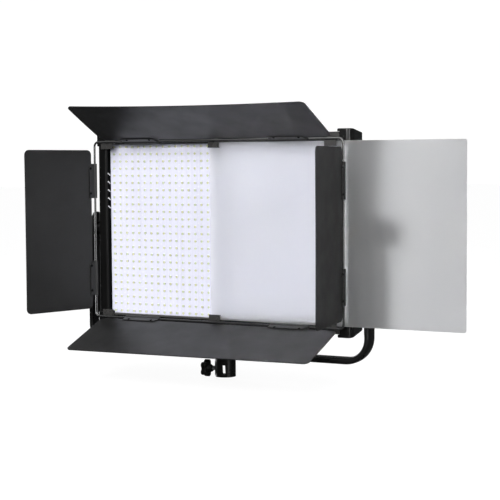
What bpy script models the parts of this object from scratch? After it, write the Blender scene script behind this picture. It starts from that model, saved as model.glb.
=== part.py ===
"""LED panel light with four barn doors, a sliding diffuser sheet and a tilting yoke.

The front of the panel faces -Y, +Z is up and +X is the viewer's right.
The origin is the end of the stud bore, where a stand's stud seats in the yoke's receiver.
"""

import math

import bmesh
import bpy
from mathutils import Matrix, Vector

MM = 0.001
GAP = 0.3 * MM

# Tilt axis and housing. Depths (Y) are measured from the yoke's plane, heights from the tilt axis.
AXIS_Z = 178 * MM
HALF_W = 190 * MM
HALF_H = 131 * MM
FRONT_Y = -19 * MM
SEAM_Y = -9.5 * MM
BACK_Y = 31 * MM
SHELL_WALL = 2 * MM
WINDOW_W = 176.5 * MM
WINDOW_H = 118.5 * MM
# How much narrower and lower the housing is at its back than at the seam, on each side
TAPER_W = 4.2 * MM
TAPER_H = 4 * MM

# Slanted vents in the window's left wall, and the rows of vents in the back
VENT_COUNT = 5
VENT_TOP = 77 * MM
VENT_PITCH = 11.5 * MM
VENT_SLANT = math.radians(-28)
VENT_ROWS = 9
REAR_VENT_TOP = 108 * MM
REAR_VENT_PITCH = 12 * MM

# LED board and what lies behind it
LED_Y = -9.0 * MM
BOARD_THICK = 1.6 * MM
HEAT_PLATE_THICK = 3 * MM

# Diffuser sheet, drawn half out to the right
SHEET_W = 355.8 * MM
SHEET_H = 236.4 * MM
SHEET_THICK = 1.2 * MM
SHEET_Y = -27 * MM
SHEET_X = 171.7 * MM

# Sheet clips along the top and bottom rails
CLIP_X = 170 * MM
CLIP_W = 17 * MM

# Barn door frame and leaves. Leaf angles are measured from straight ahead, outwards.
RING_W = 188.5 * MM
RING_H = 122 * MM
RING_Y = -31 * MM
RING_CORNER = 6 * MM
WIRE_D = 3.2 * MM
LEAF_THICK = 1.2 * MM
LEAF_START = 6.5 * MM
TOP_LEAF_HALF = 173.4 * MM
BOTTOM_LEAF_HALF = 178.6 * MM
SIDE_LEAF_HALF = 111 * MM
LONG_LEAF_REACH = 103.2 * MM
SIDE_LEAF_REACH = 116.5 * MM
LEAF_CORNER = 7 * MM
TOP_ANGLE = math.radians(24.8)
BOTTOM_ANGLE = math.radians(19)
LEFT_ANGLE = math.radians(19.5)
RIGHT_ANGLE = math.radians(6.5)
# How far each leaf sits off the middle of its side, to the right or up
LEAF_SHIFTS = {"top": 2.2 * MM, "bottom": 3.8 * MM, "left": 0.0, "right": 0.0}
LONG_BRACKET = (112 * MM, 55 * MM)
SIDE_BRACKET = (68 * MM, 48 * MM)

# Corner guards
GUARD_THICK = 3.7 * MM
GUARD_LEG = 18.5 * MM
GUARD_ROUND = 6 * MM

# Yoke: a flat oval tube, flattened at its two ends
ARM_X = 211.5 * MM
BAR_Z = -167.1 * MM
TUBE_DEPTH = 24 * MM
TUBE_THICK = 9 * MM
BEND_R = 31 * MM
EYE_X = 206.8 * MM
EYE_THICK = 5.6 * MM
EYE_DEPTH = 26 * MM
EYE_TOP = 24 * MM
EYE_START = -33 * MM
EYE_HOLE_R = 4.3 * MM

# Stud receiver under the middle of the yoke
RECEIVER_R = 14.4 * MM
RECEIVER_LOW = -21.6 * MM
RECEIVER_TOP = 4.7 * MM
BORE_R = 8.1 * MM
SLOT_W = 4 * MM
SLOT_H = 11.5 * MM
SLOT_TOP = -5 * MM
SLOT_TURN = math.radians(27.5)
SLOT_SHIFT = -1.7 * MM
SPIGOT_R = 4 * MM
SPIGOT_TOP = 26 * MM

# Stud clamp, on the receiver's left
CLAMP_Z = -11.5 * MM
CLAMP_KNOB_X = -29.4 * MM
CLAMP_KNOB_THICK = 8 * MM
CLAMP_SCREW_R = 3 * MM

# Tilt hardware
BOSS_R = 9.5 * MM
TILT_SCREW_R = 4 * MM
TILT_KNOB_R = 18 * MM
TILT_KNOB_THICK = 15 * MM

# Controls on the back
PANEL_SIZE = (178 * MM, 66 * MM)
PANEL_Z = -62 * MM
PANEL_THICK = 2 * MM
DIAL_XS = (-66 * MM, -34 * MM)
DIAL_R = 11 * MM
DIAL_DEPTH = 13 * MM
DIAL_SHAFT_R = 3 * MM
DISPLAY_X = 10 * MM
DISPLAY_SIZE = (58 * MM, 30 * MM)
SWITCH_X = 62 * MM
SWITCH_SIZE = (21 * MM, 15 * MM)
SOCKET_X = 62 * MM
SWITCH_TIP = math.radians(8)
CONTROL_DZ = 15 * MM

for leftover in list(bpy.data.objects):
    bpy.data.objects.remove(leftover)

parts = bpy.data.collections.new("led_panel_light")
cutters = bpy.data.collections.new("cutters")
for group in (parts, cutters):
    bpy.context.scene.collection.children.link(group)

SEATS = {}


# ---------------------------------------------------------------- materials


def make_material(name, colour, roughness, metallic=0.0, transmission=0.0):
    made = bpy.data.materials.new(name)
    made.use_nodes = True
    shader = made.node_tree.nodes["Principled BSDF"]
    shader.inputs["Base Color"].default_value = (*colour, 1)
    shader.inputs["Roughness"].default_value = roughness
    shader.inputs["Metallic"].default_value = metallic
    shader.inputs["Transmission Weight"].default_value = transmission
    return made


LEAF_PAINT = make_material("leaf_powder_coat", (0.022, 0.022, 0.023), 0.55)
YOKE_PAINT = make_material("yoke_paint", (0.018, 0.018, 0.019), 0.35)
CASE_PAINT = make_material("case_paint", (0.025, 0.025, 0.026), 0.4)
WIRE_PAINT = make_material("wire_paint", (0.04, 0.04, 0.042), 0.3)
BLACK_PLASTIC = make_material("black_plastic", (0.02, 0.02, 0.02), 0.45)
GLOSS_PLASTIC = make_material("gloss_plastic", (0.01, 0.01, 0.012), 0.12)
RED_PLASTIC = make_material("red_plastic", (0.5, 0.02, 0.02), 0.35)
WHITE_BOARD = make_material("white_board", (0.88, 0.87, 0.93), 0.5)
GREEN_BOARD = make_material("green_board", (0.03, 0.16, 0.07), 0.45)
ALUMINIUM = make_material("aluminium", (0.72, 0.72, 0.73), 0.35, 1.0)
STEEL = make_material("zinc_steel", (0.55, 0.55, 0.57), 0.3, 1.0)
BRASS = make_material("brass", (0.75, 0.53, 0.25), 0.3, 1.0)
FROSTED = make_material("frosted_acrylic", (0.9, 0.9, 0.91), 0.6, 0.0, 0.5)


# ---------------------------------------------------------------- helpers


def add_object(name, mesh, material, smooth=True):
    """Put a mesh in the scene as one named part."""
    made = bpy.data.objects.new(name, mesh)
    parts.objects.link(made)
    mesh.materials.clear()
    mesh.materials.append(material)
    if smooth:
        mesh.shade_smooth()
        mesh.set_sharp_from_angle(angle=math.radians(35))
    return made


def mesh_from(build):
    """A mesh made by build(bm) in a fresh bmesh, with its normals facing out."""
    bm = bmesh.new()
    build(bm)
    bmesh.ops.recalc_face_normals(bm, faces=bm.faces)
    mesh = bpy.data.meshes.new("shape")
    bm.to_mesh(mesh)
    bm.free()
    return mesh


def block_mesh(size, centre=(0, 0, 0)):
    def build(bm):
        bmesh.ops.create_cube(bm, size=1)
        bmesh.ops.scale(bm, verts=bm.verts, vec=size)
        bmesh.ops.translate(bm, verts=bm.verts, vec=centre)

    return mesh_from(build)


def axis_turn(axis):
    """The rotation that stands a +Z shape along the given axis."""
    return Vector((0, 0, 1)).rotation_difference(Vector(axis)).to_matrix().to_4x4()


def rod_mesh(radius, length, centre=(0, 0, 0), axis=(0, 0, 1), sides=32, far_radius=None):
    def build(bm):
        bmesh.ops.create_cone(
            bm,
            cap_ends=True,
            segments=sides,
            radius1=radius,
            radius2=radius if far_radius is None else far_radius,
            depth=length,
            matrix=Matrix.Translation(centre) @ axis_turn(axis),
        )

    return mesh_from(build)


def extrusion_mesh(outline, length, holes=()):
    """A flat outline in X and Y, with holes, given an even thickness along Z about z = 0."""
    curve = bpy.data.curves.new("outline", "CURVE")
    curve.dimensions = "2D"
    curve.fill_mode = "BOTH"
    curve.extrude = length / 2
    for ring in (outline, *holes):
        spline = curve.splines.new("POLY")
        spline.points.add(len(ring) - 1)
        for point, (x, y) in zip(spline.points, ring):
            point.co = (x, y, 0, 1)
        spline.use_cyclic_u = True
    shape = bpy.data.objects.new("outline", curve)
    bpy.context.scene.collection.objects.link(shape)
    graph = bpy.context.evaluated_depsgraph_get()
    mesh = bpy.data.meshes.new_from_object(shape.evaluated_get(graph))
    bpy.data.objects.remove(shape)
    bm = bmesh.new()
    bm.from_mesh(mesh)
    bmesh.ops.remove_doubles(bm, verts=bm.verts, dist=0.001 * MM)
    bmesh.ops.recalc_face_normals(bm, faces=bm.faces)
    bm.to_mesh(mesh)
    bm.free()
    return mesh


def arc(centre, radius, start, end, steps):
    """Points on an arc, with its angles in degrees."""
    angles = [math.radians(start + (end - start) * i / steps) for i in range(steps + 1)]
    return [(centre[0] + radius * math.cos(a), centre[1] + radius * math.sin(a)) for a in angles]


def rounded_rectangle(width, height, radius, steps=4, centre=(0, 0)):
    points = []
    for quarter, (sx, sy) in enumerate(((1, 1), (-1, 1), (-1, -1), (1, -1))):
        corner = (
            centre[0] + sx * (width / 2 - radius),
            centre[1] + sy * (height / 2 - radius),
        )
        points += arc(corner, radius, 90 * quarter, 90 * quarter + 90, steps)
    return points


def bevel(obj, width, segments=2, angle=40):
    added = obj.modifiers.new("edge_rounding", "BEVEL")
    added.width = width
    added.segments = segments
    added.limit_method = "ANGLE"
    added.angle_limit = math.radians(angle)
    return obj


def boolean(obj, mesh, name, operation="DIFFERENCE"):
    """Cut or join a helper mesh, kept in the cutters collection."""
    tool = bpy.data.objects.new(name, mesh)
    cutters.objects.link(tool)
    tool.hide_render = True
    tool.display_type = "WIRE"
    tool.parent = obj
    added = obj.modifiers.new(name, "BOOLEAN")
    added.operation = operation
    added.object = tool
    return obj


def place(obj, seat_name):
    """Carry a part, modelled in world coordinates, on a joint's empty without moving it."""
    seat = SEATS[seat_name]
    obj.parent = seat
    obj.matrix_parent_inverse = seat.matrix_world.inverted()
    return obj


def add_seat(name, location, along=(1, 0, 0), towards=(0, 1, 0)):
    """An empty on a joint's axis, with its local X along the axis and its local Y towards the piece."""
    seat = bpy.data.objects.new(name, None)
    parts.objects.link(seat)
    x_axis, y_axis = Vector(along), Vector(towards)
    turn = Matrix((x_axis, y_axis, x_axis.cross(y_axis))).transposed()
    seat.matrix_world = Matrix.Translation(location) @ turn.to_4x4()
    SEATS[name] = seat
    return seat


def up(z):
    """A height measured from the tilt axis, as a world height."""
    return AXIS_Z + z


# ---------------------------------------------------------------- yoke


def oval_section(thick, depth, steps=20):
    """A flat oval, thin across the arm and deep along Y."""
    power = 0.65
    points = []
    for i in range(steps):
        angle = 2 * math.pi * i / steps
        c, s = math.cos(angle), math.sin(angle)
        points.append(
            (
                thick / 2 * math.copysign(abs(c) ** power, c),
                depth / 2 * math.copysign(abs(s) ** power, s),
            )
        )
    return points


def yoke_stations():
    """Centre, outward direction and section size, from the left eye down, across and up to the right eye."""
    half = [
        (EYE_X, EYE_TOP, 0.0, EYE_THICK * 0.8, EYE_DEPTH * 0.42),
        (EYE_X, EYE_TOP - 1.5 * MM, 0.0, EYE_THICK, EYE_DEPTH * 0.62),
        (EYE_X, EYE_TOP - 5 * MM, 0.0, EYE_THICK, EYE_DEPTH * 0.86),
        (EYE_X, EYE_TOP - 11 * MM, 0.0, EYE_THICK, EYE_DEPTH),
        (EYE_X, EYE_START + 16 * MM, 0.0, EYE_THICK, EYE_DEPTH),
        (EYE_X + 1.2 * MM, EYE_START + 8 * MM, 0.0, EYE_THICK * 1.2, EYE_DEPTH),
        (ARM_X - 1 * MM, EYE_START, 0.0, TUBE_THICK * 0.9, TUBE_DEPTH + 1 * MM),
        (ARM_X, EYE_START - 6 * MM, 0.0, TUBE_THICK, TUBE_DEPTH),
    ]
    bend_steps = 8
    for i in range(bend_steps + 1):
        angle = math.radians(90 * i / bend_steps)
        x = ARM_X - BEND_R + BEND_R * math.cos(angle)
        z = BAR_Z + BEND_R - BEND_R * math.sin(angle)
        half.append((x, z, angle, TUBE_THICK, TUBE_DEPTH))
    left = [(-x, z, (-math.cos(a), 0, -math.sin(a)), t, d) for x, z, a, t, d in half]
    right = [(x, z, (math.cos(a), 0, -math.sin(a)), t, d) for x, z, a, t, d in reversed(half)]
    return left + right


def make_yoke():
    def build(bm):
        rings = []
        for x, z, outward, thick, depth in yoke_stations():
            centre = Vector((x, 0, up(z)))
            rings.append(
                [
                    bm.verts.new(centre + across * Vector(outward) + Vector((0, deep, 0)))
                    for across, deep in oval_section(thick, depth)
                ]
            )
        for first, second in zip(rings, rings[1:]):
            for i in range(len(first)):
                k = (i + 1) % len(first)
                bm.faces.new((first[i], first[k], second[k], second[i]))
        bm.faces.new(rings[0])
        bm.faces.new(rings[-1])

    yoke = add_object("yoke_tube", mesh_from(build), YOKE_PAINT)
    for side, word in ((-1, "left"), (1, "right")):
        hole = rod_mesh(EYE_HOLE_R, 20 * MM, (side * EYE_X, 0, AXIS_Z), (1, 0, 0), 24)
        boolean(yoke, hole, f"eye_hole_{word}")
    bolt_hole = rod_mesh(SPIGOT_R + GAP, 30 * MM, (0, 0, up(BAR_Z)), sides=24)
    boolean(yoke, bolt_hole, "spigot_hole")


def make_receiver():
    """The stud receiver: a blind bore, a slot through both walls, and a threaded spigot through the yoke."""
    height = RECEIVER_TOP - RECEIVER_LOW
    middle = (RECEIVER_TOP + RECEIVER_LOW) / 2
    receiver = add_object("receiver", rod_mesh(RECEIVER_R, height, (0, 0, middle), sides=40), CASE_PAINT)
    bevel(receiver, 1 * MM, 2)
    spigot = rod_mesh(SPIGOT_R, SPIGOT_TOP, (0, 0, SPIGOT_TOP / 2 + 1 * MM), sides=20)
    boolean(receiver, spigot, "spigot", "UNION")
    boolean(receiver, rod_mesh(BORE_R, 40 * MM, (0, 0, -20 * MM), sides=32), "stud_bore")
    turn = Matrix.Rotation(SLOT_TURN, 4, "Z")
    slot = block_mesh((SLOT_W, 40 * MM, SLOT_H), (SLOT_SHIFT, 0, SLOT_TOP - SLOT_H / 2))
    slot.transform(turn)
    boolean(receiver, slot, "front_slot")
    split = block_mesh((SLOT_W, 20 * MM, 30 * MM), (SLOT_SHIFT, 10 * MM, SLOT_TOP - 15 * MM))
    split.transform(turn)
    boolean(receiver, split, "rear_split")
    screw_hole = rod_mesh(CLAMP_SCREW_R + GAP, 20 * MM, (-15 * MM, 0, CLAMP_Z), (1, 0, 0), 20)
    boolean(receiver, screw_hole, "clamp_hole")

    crown = up(BAR_Z) + TUBE_THICK / 2
    washer_thick = 1.6 * MM
    washer = add_object(
        "receiver_washer",
        rod_mesh(8.5 * MM, washer_thick, (0, 0, crown + GAP + washer_thick / 2), sides=28),
        STEEL,
    )
    boolean(washer, rod_mesh(SPIGOT_R + GAP, 10 * MM, (0, 0, crown), sides=20), "washer_hole")
    nut_low = crown + washer_thick + 2 * GAP
    nut_high = 6 * MM
    nut = add_object("receiver_nut", rod_mesh(7.5 * MM, nut_high, (0, 0, nut_low + nut_high / 2), sides=6), STEEL)
    boolean(nut, rod_mesh(SPIGOT_R + GAP, 20 * MM, (0, 0, nut_low), sides=20), "nut_hole")


def lobed_outline(radius, lobes, lobe_radius, waist, steps=4):
    """A hand knob's outline: round lobes joined by the straight sides of a smaller body."""
    points = []
    for lobe in range(lobes):
        angle = 360 * lobe / lobes
        reach = radius - lobe_radius
        centre = (reach * math.cos(math.radians(angle)), reach * math.sin(math.radians(angle)))
        points += arc(centre, lobe_radius, angle - 75, angle + 75, steps)
        middle = math.radians(angle + 180 / lobes)
        points.append((waist * math.cos(middle), waist * math.sin(middle)))
    return points


def make_clamp():
    """The hand knob and screw that grip the stand's stud."""
    add_seat("clamp_axis", (CLAMP_KNOB_X, 0, CLAMP_Z), (-1, 0, 0), (0, 1, 0))
    mesh = extrusion_mesh(lobed_outline(13.2 * MM, 5, 4.2 * MM, 8.8 * MM), CLAMP_KNOB_THICK)
    mesh.transform(Matrix.Translation((CLAMP_KNOB_X, 0, CLAMP_Z)) @ axis_turn((1, 0, 0)))
    knob = add_object("clamp_knob", mesh, BLACK_PLASTIC)
    bevel(knob, 1.2 * MM, 2, 50)
    neck_length = 6 * MM
    neck_x = CLAMP_KNOB_X + CLAMP_KNOB_THICK / 2 + neck_length / 2 - 0.5 * MM
    neck = rod_mesh(6.5 * MM, neck_length, (neck_x, 0, CLAMP_Z), (1, 0, 0), 20, 4 * MM)
    boolean(knob, neck, "knob_neck", "UNION")
    start = neck_x + neck_length / 2 + GAP
    end = -BORE_R - 0.3 * MM
    screw = add_object(
        "clamp_screw",
        rod_mesh(CLAMP_SCREW_R, end - start, ((start + end) / 2, 0, CLAMP_Z), (1, 0, 0), 20),
        STEEL,
    )
    for piece in (knob, screw):
        place(piece, "clamp_axis")


def make_tilt_hardware(side, word):
    """The spacer boss on the housing, then the washer, screw and hand knob outside the yoke's eye."""
    centre = (0, 0, AXIS_Z)

    def along(x):
        return (side * x, centre[1], centre[2])

    eye_inner = EYE_X - EYE_THICK / 2
    eye_outer = EYE_X + EYE_THICK / 2
    boss_start, boss_end = HALF_W - 8 * MM, eye_inner - GAP
    boss_length = boss_end - boss_start
    boss = rod_mesh(BOSS_R, boss_length, along((boss_start + boss_end) / 2), (side, 0, 0), 32)
    boss_object = add_object(f"pivot_boss_{word}", boss, BLACK_PLASTIC)
    housing = drafted(block_mesh((2 * (HALF_W + GAP), 80 * MM, 60 * MM), (0, 0, AXIS_Z)))
    boolean(boss_object, housing, f"boss_foot_{word}")
    bore = rod_mesh(TILT_SCREW_R + GAP, 60 * MM, along(boss_start), (1, 0, 0), 20)
    boolean(boss_object, bore, f"boss_bore_{word}")
    place(boss_object, "tilt_axis")

    washer_thick = 1.5 * MM
    washer_mesh = rod_mesh(10 * MM, washer_thick, along(eye_outer + GAP + washer_thick / 2), (1, 0, 0), 28)
    washer = add_object(f"tilt_washer_{word}", washer_mesh, STEEL)
    washer_bore = rod_mesh(TILT_SCREW_R + GAP, 10 * MM, along(eye_outer), (1, 0, 0), 20)
    boolean(washer, washer_bore, f"washer_bore_{word}")

    seat = f"tilt_knob_{word}_axis"
    add_seat(seat, along(eye_outer), (side, 0, 0), (0, 1, 0))
    knob_start = eye_outer + washer_thick + 2 * GAP
    mesh = extrusion_mesh(lobed_outline(TILT_KNOB_R, 8, 4.6 * MM, 14.6 * MM, 3), TILT_KNOB_THICK)
    mesh.transform(Matrix.Translation(along(knob_start + TILT_KNOB_THICK / 2)) @ axis_turn((side, 0, 0)))
    knob = add_object(f"tilt_knob_{word}", mesh, BLACK_PLASTIC)
    bevel(knob, 1.5 * MM, 2, 50)
    screw_start = HALF_W - 12 * MM
    screw_end = knob_start - GAP
    screw_mesh = rod_mesh(
        TILT_SCREW_R, screw_end - screw_start, along((screw_start + screw_end) / 2), (1, 0, 0), 20
    )
    screw = add_object(f"tilt_screw_{word}", screw_mesh, STEEL)
    for piece in (washer, knob, screw):
        place(piece, seat)


# ---------------------------------------------------------------- housing


def rail_outline(width):
    """A channel section: across the rail from the window edge, and along its depth."""
    wall = 2 * MM
    outer, inner = 4 * MM, 1.2 * MM
    points = [(0, SEAM_Y)]
    points += arc((inner, FRONT_Y + inner), inner, 180, 270, 3)
    points += arc((width - outer, FRONT_Y + outer), outer, 270, 360, 5)
    points += [(width, SEAM_Y), (width - wall, SEAM_Y)]
    points += [(width - wall, FRONT_Y + outer), (width - outer, FRONT_Y + wall)]
    points += [(wall, FRONT_Y + wall), (wall, SEAM_Y)]
    return points


def make_rail(word, towards):
    """One mitred rail of the bezel. towards is the outward side, in X and Z."""
    upright = towards[0] != 0
    width = HALF_W - WINDOW_W if upright else HALF_H - WINDOW_H
    half_length = WINDOW_H if upright else WINDOW_W
    other_width = HALF_H - WINDOW_H if upright else HALF_W - WINDOW_W
    mesh = extrusion_mesh(rail_outline(width), 2)
    for vertex in mesh.vertices:
        across, depth, end = vertex.co
        along = end * (half_length + across * other_width / width - GAP / 2)
        if upright:
            vertex.co = (towards[0] * (WINDOW_W + across), depth, up(along))
        else:
            vertex.co = (along, depth, up(towards[1] * (WINDOW_H + across)))
    bm = bmesh.new()
    bm.from_mesh(mesh)
    bmesh.ops.recalc_face_normals(bm, faces=bm.faces)
    bm.to_mesh(mesh)
    bm.free()
    rail = add_object(f"bezel_{word}", mesh, CASE_PAINT)
    place(rail, "tilt_axis")
    return rail


def make_bezel():
    make_rail("top", (0, 1))
    make_rail("bottom", (0, -1))
    make_rail("right", (1, 0))
    left = make_rail("left", (-1, 0))
    for i in range(VENT_COUNT):
        centre = (-WINDOW_W - 1 * MM, (FRONT_Y + SEAM_Y) / 2, up(VENT_TOP - i * VENT_PITCH))
        slit = block_mesh((4 * MM, 6.4 * MM, 1.4 * MM))
        slit.transform(Matrix.Translation(centre) @ Matrix.Rotation(VENT_SLANT, 4, "X"))
        boolean(left, slit, f"side_vent_{i + 1}")
    for side, word in ((-1, "left"), (1, "right")):
        thick = 1.6 * MM
        x = side * (HALF_W + GAP + thick / 2)
        head = rod_mesh(2.5 * MM, thick, (x, SEAM_Y - 3.6 * MM, AXIS_Z), (side, 0, 0), 16, 2 * MM)
        place(add_object(f"brass_screw_{word}", head, BRASS), "tilt_axis")


def drafted(mesh):
    """Draw all that lies behind the seam inwards towards the back, as the moulded housing's sides run."""
    bm = bmesh.new()
    bm.from_mesh(mesh)
    everything = [*bm.verts, *bm.edges, *bm.faces]
    bmesh.ops.bisect_plane(bm, geom=everything, plane_co=(0, SEAM_Y, 0), plane_no=(0, 1, 0))
    for vert in bm.verts:
        share = max(0, vert.co.y - SEAM_Y) / (BACK_Y - SEAM_Y)
        vert.co.x *= 1 - share * TAPER_W / HALF_W
        vert.co.z = up((vert.co.z - AXIS_Z) * (1 - share * TAPER_H / HALF_H))
    bm.to_mesh(mesh)
    bm.free()
    return mesh


def make_guard(sx, sz, word):
    """A moulded cap over one corner: two outer walls the full depth, and a lip over the bezel's face."""
    outer_x, outer_z = HALF_W + GAP + GUARD_THICK, HALF_H + GAP + GUARD_THICK
    low_y, high_y = FRONT_Y - GAP - 2 * MM, BACK_Y
    size = (GUARD_LEG, high_y - low_y, GUARD_LEG)
    centre = (
        sx * (outer_x - GUARD_LEG / 2),
        (low_y + high_y) / 2,
        up(sz * (outer_z - GUARD_LEG / 2)),
    )
    def build(bm):
        bmesh.ops.create_cube(bm, size=1)
        bmesh.ops.scale(bm, verts=bm.verts, vec=size)
        bmesh.ops.translate(bm, verts=bm.verts, vec=centre)
        corner = [
            edge
            for edge in bm.edges
            if all(v.co.y < centre[1] and v.co.x * sx > abs(centre[0]) for v in edge.verts)
        ]
        bmesh.ops.bevel(bm, geom=corner, offset=GUARD_ROUND, segments=4, affect="EDGES", profile=0.5)

    guard = add_object(f"corner_guard_{word}", drafted(mesh_from(build)), BLACK_PLASTIC)
    bevel(guard, 1.2 * MM, 2)
    reach = 40 * MM
    inner = block_mesh(
        (reach, 80 * MM, reach),
        (
            sx * (HALF_W + GAP - reach / 2),
            FRONT_Y - GAP + 40 * MM,
            up(sz * (HALF_H + GAP - reach / 2)),
        ),
    )
    boolean(guard, drafted(inner), f"guard_inside_{word}")
    lip = block_mesh(
        (reach, 20 * MM, reach),
        (sx * (CLIP_X + CLIP_W / 2 + 1 * MM - reach / 2), FRONT_Y, up(sz * (HALF_H + GAP - reach / 2))),
    )
    boolean(guard, lip, f"guard_lip_trim_{word}")
    place(guard, "tilt_axis")


def make_rear_shell():
    depth = BACK_Y - SEAM_Y - GAP
    centre = (0, BACK_Y - depth / 2, AXIS_Z)

    def build(bm):
        bmesh.ops.create_cube(bm, size=1)
        bmesh.ops.scale(bm, verts=bm.verts, vec=(2 * HALF_W, depth, 2 * HALF_H))
        bmesh.ops.translate(bm, verts=bm.verts, vec=centre)
        rear = [e for e in bm.edges if all(v.co.y > centre[1] for v in e.verts)]
        sides = [e for e in bm.edges if abs(e.verts[0].co.y - e.verts[1].co.y) > depth / 2]
        bmesh.ops.bevel(
            bm, geom=rear + sides, offset=4 * MM, segments=2, affect="EDGES", profile=0.5, clamp_overlap=True
        )

    shell = add_object("rear_shell", drafted(mesh_from(build)), CASE_PAINT)
    inside = (2 * (HALF_W - SHELL_WALL), 60 * MM, 2 * (HALF_H - SHELL_WALL))
    hollow = drafted(block_mesh(inside, (0, BACK_Y - SHELL_WALL - 30 * MM, AXIS_Z)))
    boolean(shell, hollow, "shell_inside")
    boolean(shell, rod_mesh(TILT_SCREW_R + GAP, 500 * MM, (0, 0, AXIS_Z), (1, 0, 0), 20), "tilt_screw_holes")

    def vents(bm):
        for row in range(VENT_ROWS):
            for column in range(-1, 2):
                made = bmesh.ops.create_cube(bm, size=1)["verts"]
                bmesh.ops.scale(bm, verts=made, vec=(86 * MM, 10 * MM, 3.2 * MM))
                spot = (column * 104 * MM, BACK_Y, up(REAR_VENT_TOP - row * REAR_VENT_PITCH))
                bmesh.ops.translate(bm, verts=made, vec=spot)

    boolean(shell, mesh_from(vents), "rear_vents")
    opening = (PANEL_SIZE[0] - 10 * MM, 20 * MM, PANEL_SIZE[1] - 10 * MM)
    boolean(shell, block_mesh(opening, (0, BACK_Y, up(PANEL_Z))), "panel_opening")
    place(shell, "tilt_axis")


def make_inside():
    """The LED board, the heat spreader behind it, and the driver board on two spacers."""
    board_size = (366 * MM, BOARD_THICK, 250 * MM)
    board = block_mesh(board_size, (0, LED_Y + BOARD_THICK / 2, AXIS_Z))
    plate_y = LED_Y + BOARD_THICK + GAP
    plate = block_mesh(
        (board_size[0], HEAT_PLATE_THICK, board_size[2]), (0, plate_y + HEAT_PLATE_THICK / 2, AXIS_Z)
    )
    spacer_y = plate_y + HEAT_PLATE_THICK + GAP
    spacer_depth = 12 * MM
    driver_y = spacer_y + spacer_depth + GAP
    driver = block_mesh((150 * MM, 1.6 * MM, 90 * MM), (0, driver_y + 0.8 * MM, up(40 * MM)))
    pieces = [
        add_object("led_board", board, WHITE_BOARD, smooth=False),
        add_object("heat_plate", plate, ALUMINIUM, smooth=False),
        add_object("driver_board", driver, GREEN_BOARD, smooth=False),
    ]
    for side, word in ((-1, "left"), (1, "right")):
        spacer = block_mesh(
            (8 * MM, spacer_depth, 80 * MM), (side * 68 * MM, spacer_y + spacer_depth / 2, up(40 * MM))
        )
        pieces.append(add_object(f"board_spacer_{word}", spacer, ALUMINIUM, smooth=False))
    for piece in pieces:
        place(piece, "tilt_axis")


# ---------------------------------------------------------------- sheet and clips


def make_sheet():
    add_seat("sheet_slide", (SHEET_X, SHEET_Y, AXIS_Z))
    mesh = extrusion_mesh(rounded_rectangle(SHEET_W, SHEET_H, 3 * MM), SHEET_THICK)
    mesh.transform(Matrix.Translation((SHEET_X, SHEET_Y, AXIS_Z)) @ Matrix.Rotation(math.pi / 2, 4, "X"))
    place(add_object("diffuser_sheet", mesh, FROSTED, smooth=False), "sheet_slide")


def clip_outline():
    """The clip's section in depth and height: foot, web, wire stop, front flap with its lip, and rear rib."""
    foot_back = FRONT_Y - GAP
    foot_front = foot_back - 1.4 * MM
    flap_front = RING_Y + 0.6 * MM
    flap_back = flap_front + 1.2 * MM
    stop_front = RING_Y + WIRE_D / 2 + GAP
    stop_back = stop_front + 1.3 * MM
    rib_front = SHEET_Y + SHEET_THICK / 2 + GAP
    rib_back = rib_front + 1 * MM
    web_low = SHEET_H / 2 + 0.4 * MM
    web_high = web_low + 1.4 * MM
    low = web_low - 6.4 * MM
    return [
        (foot_back, HALF_H - 1 * MM),
        (foot_front, HALF_H - 1 * MM),
        (foot_front, web_high),
        (stop_back, web_high),
        (stop_back, web_high + 3.2 * MM),
        (stop_front, web_high + 3.2 * MM),
        (stop_front, web_high),
        (flap_front, web_high),
        (flap_front, low),
        (SHEET_Y - SHEET_THICK / 2 - GAP, low),
        (SHEET_Y - SHEET_THICK / 2 - GAP, low + 1.2 * MM),
        (flap_back, low + 1.2 * MM),
        (flap_back, web_low),
        (rib_front, web_low),
        (rib_front, low + 1.4 * MM),
        (rib_back, low + 1.4 * MM),
        (rib_back, web_low),
        (foot_back, web_low),
    ]


def make_clips():
    for sz, row in ((1, "top"), (-1, "bottom")):
        for sx, column in ((-1, "left"), (0, "middle"), (1, "right")):
            mesh = extrusion_mesh(clip_outline(), CLIP_W)
            for vertex in mesh.vertices:
                depth, height, along = vertex.co
                vertex.co = (sx * CLIP_X + along, depth, up(sz * height))
            if sz < 0:
                mesh.flip_normals()
            place(add_object(f"sheet_clip_{row}_{column}", mesh, CASE_PAINT), "tilt_axis")


# ---------------------------------------------------------------- barn doors


def make_wire_frame():
    """The sprung wire ring that carries the four leaves."""
    curve = bpy.data.curves.new("wire", "CURVE")
    curve.dimensions = "3D"
    curve.bevel_depth = WIRE_D / 2
    curve.bevel_resolution = 2
    outline = rounded_rectangle(2 * RING_W, 2 * RING_H, RING_CORNER, 4)
    spline = curve.splines.new("POLY")
    spline.points.add(len(outline) - 1)
    for point, (x, z) in zip(spline.points, outline):
        point.co = (x, RING_Y, up(z), 1)
    spline.use_cyclic_u = True
    wire = bpy.data.objects.new("wire_frame", curve)
    parts.objects.link(wire)
    curve.materials.append(WIRE_PAINT)
    place(wire, "tilt_axis")


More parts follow.
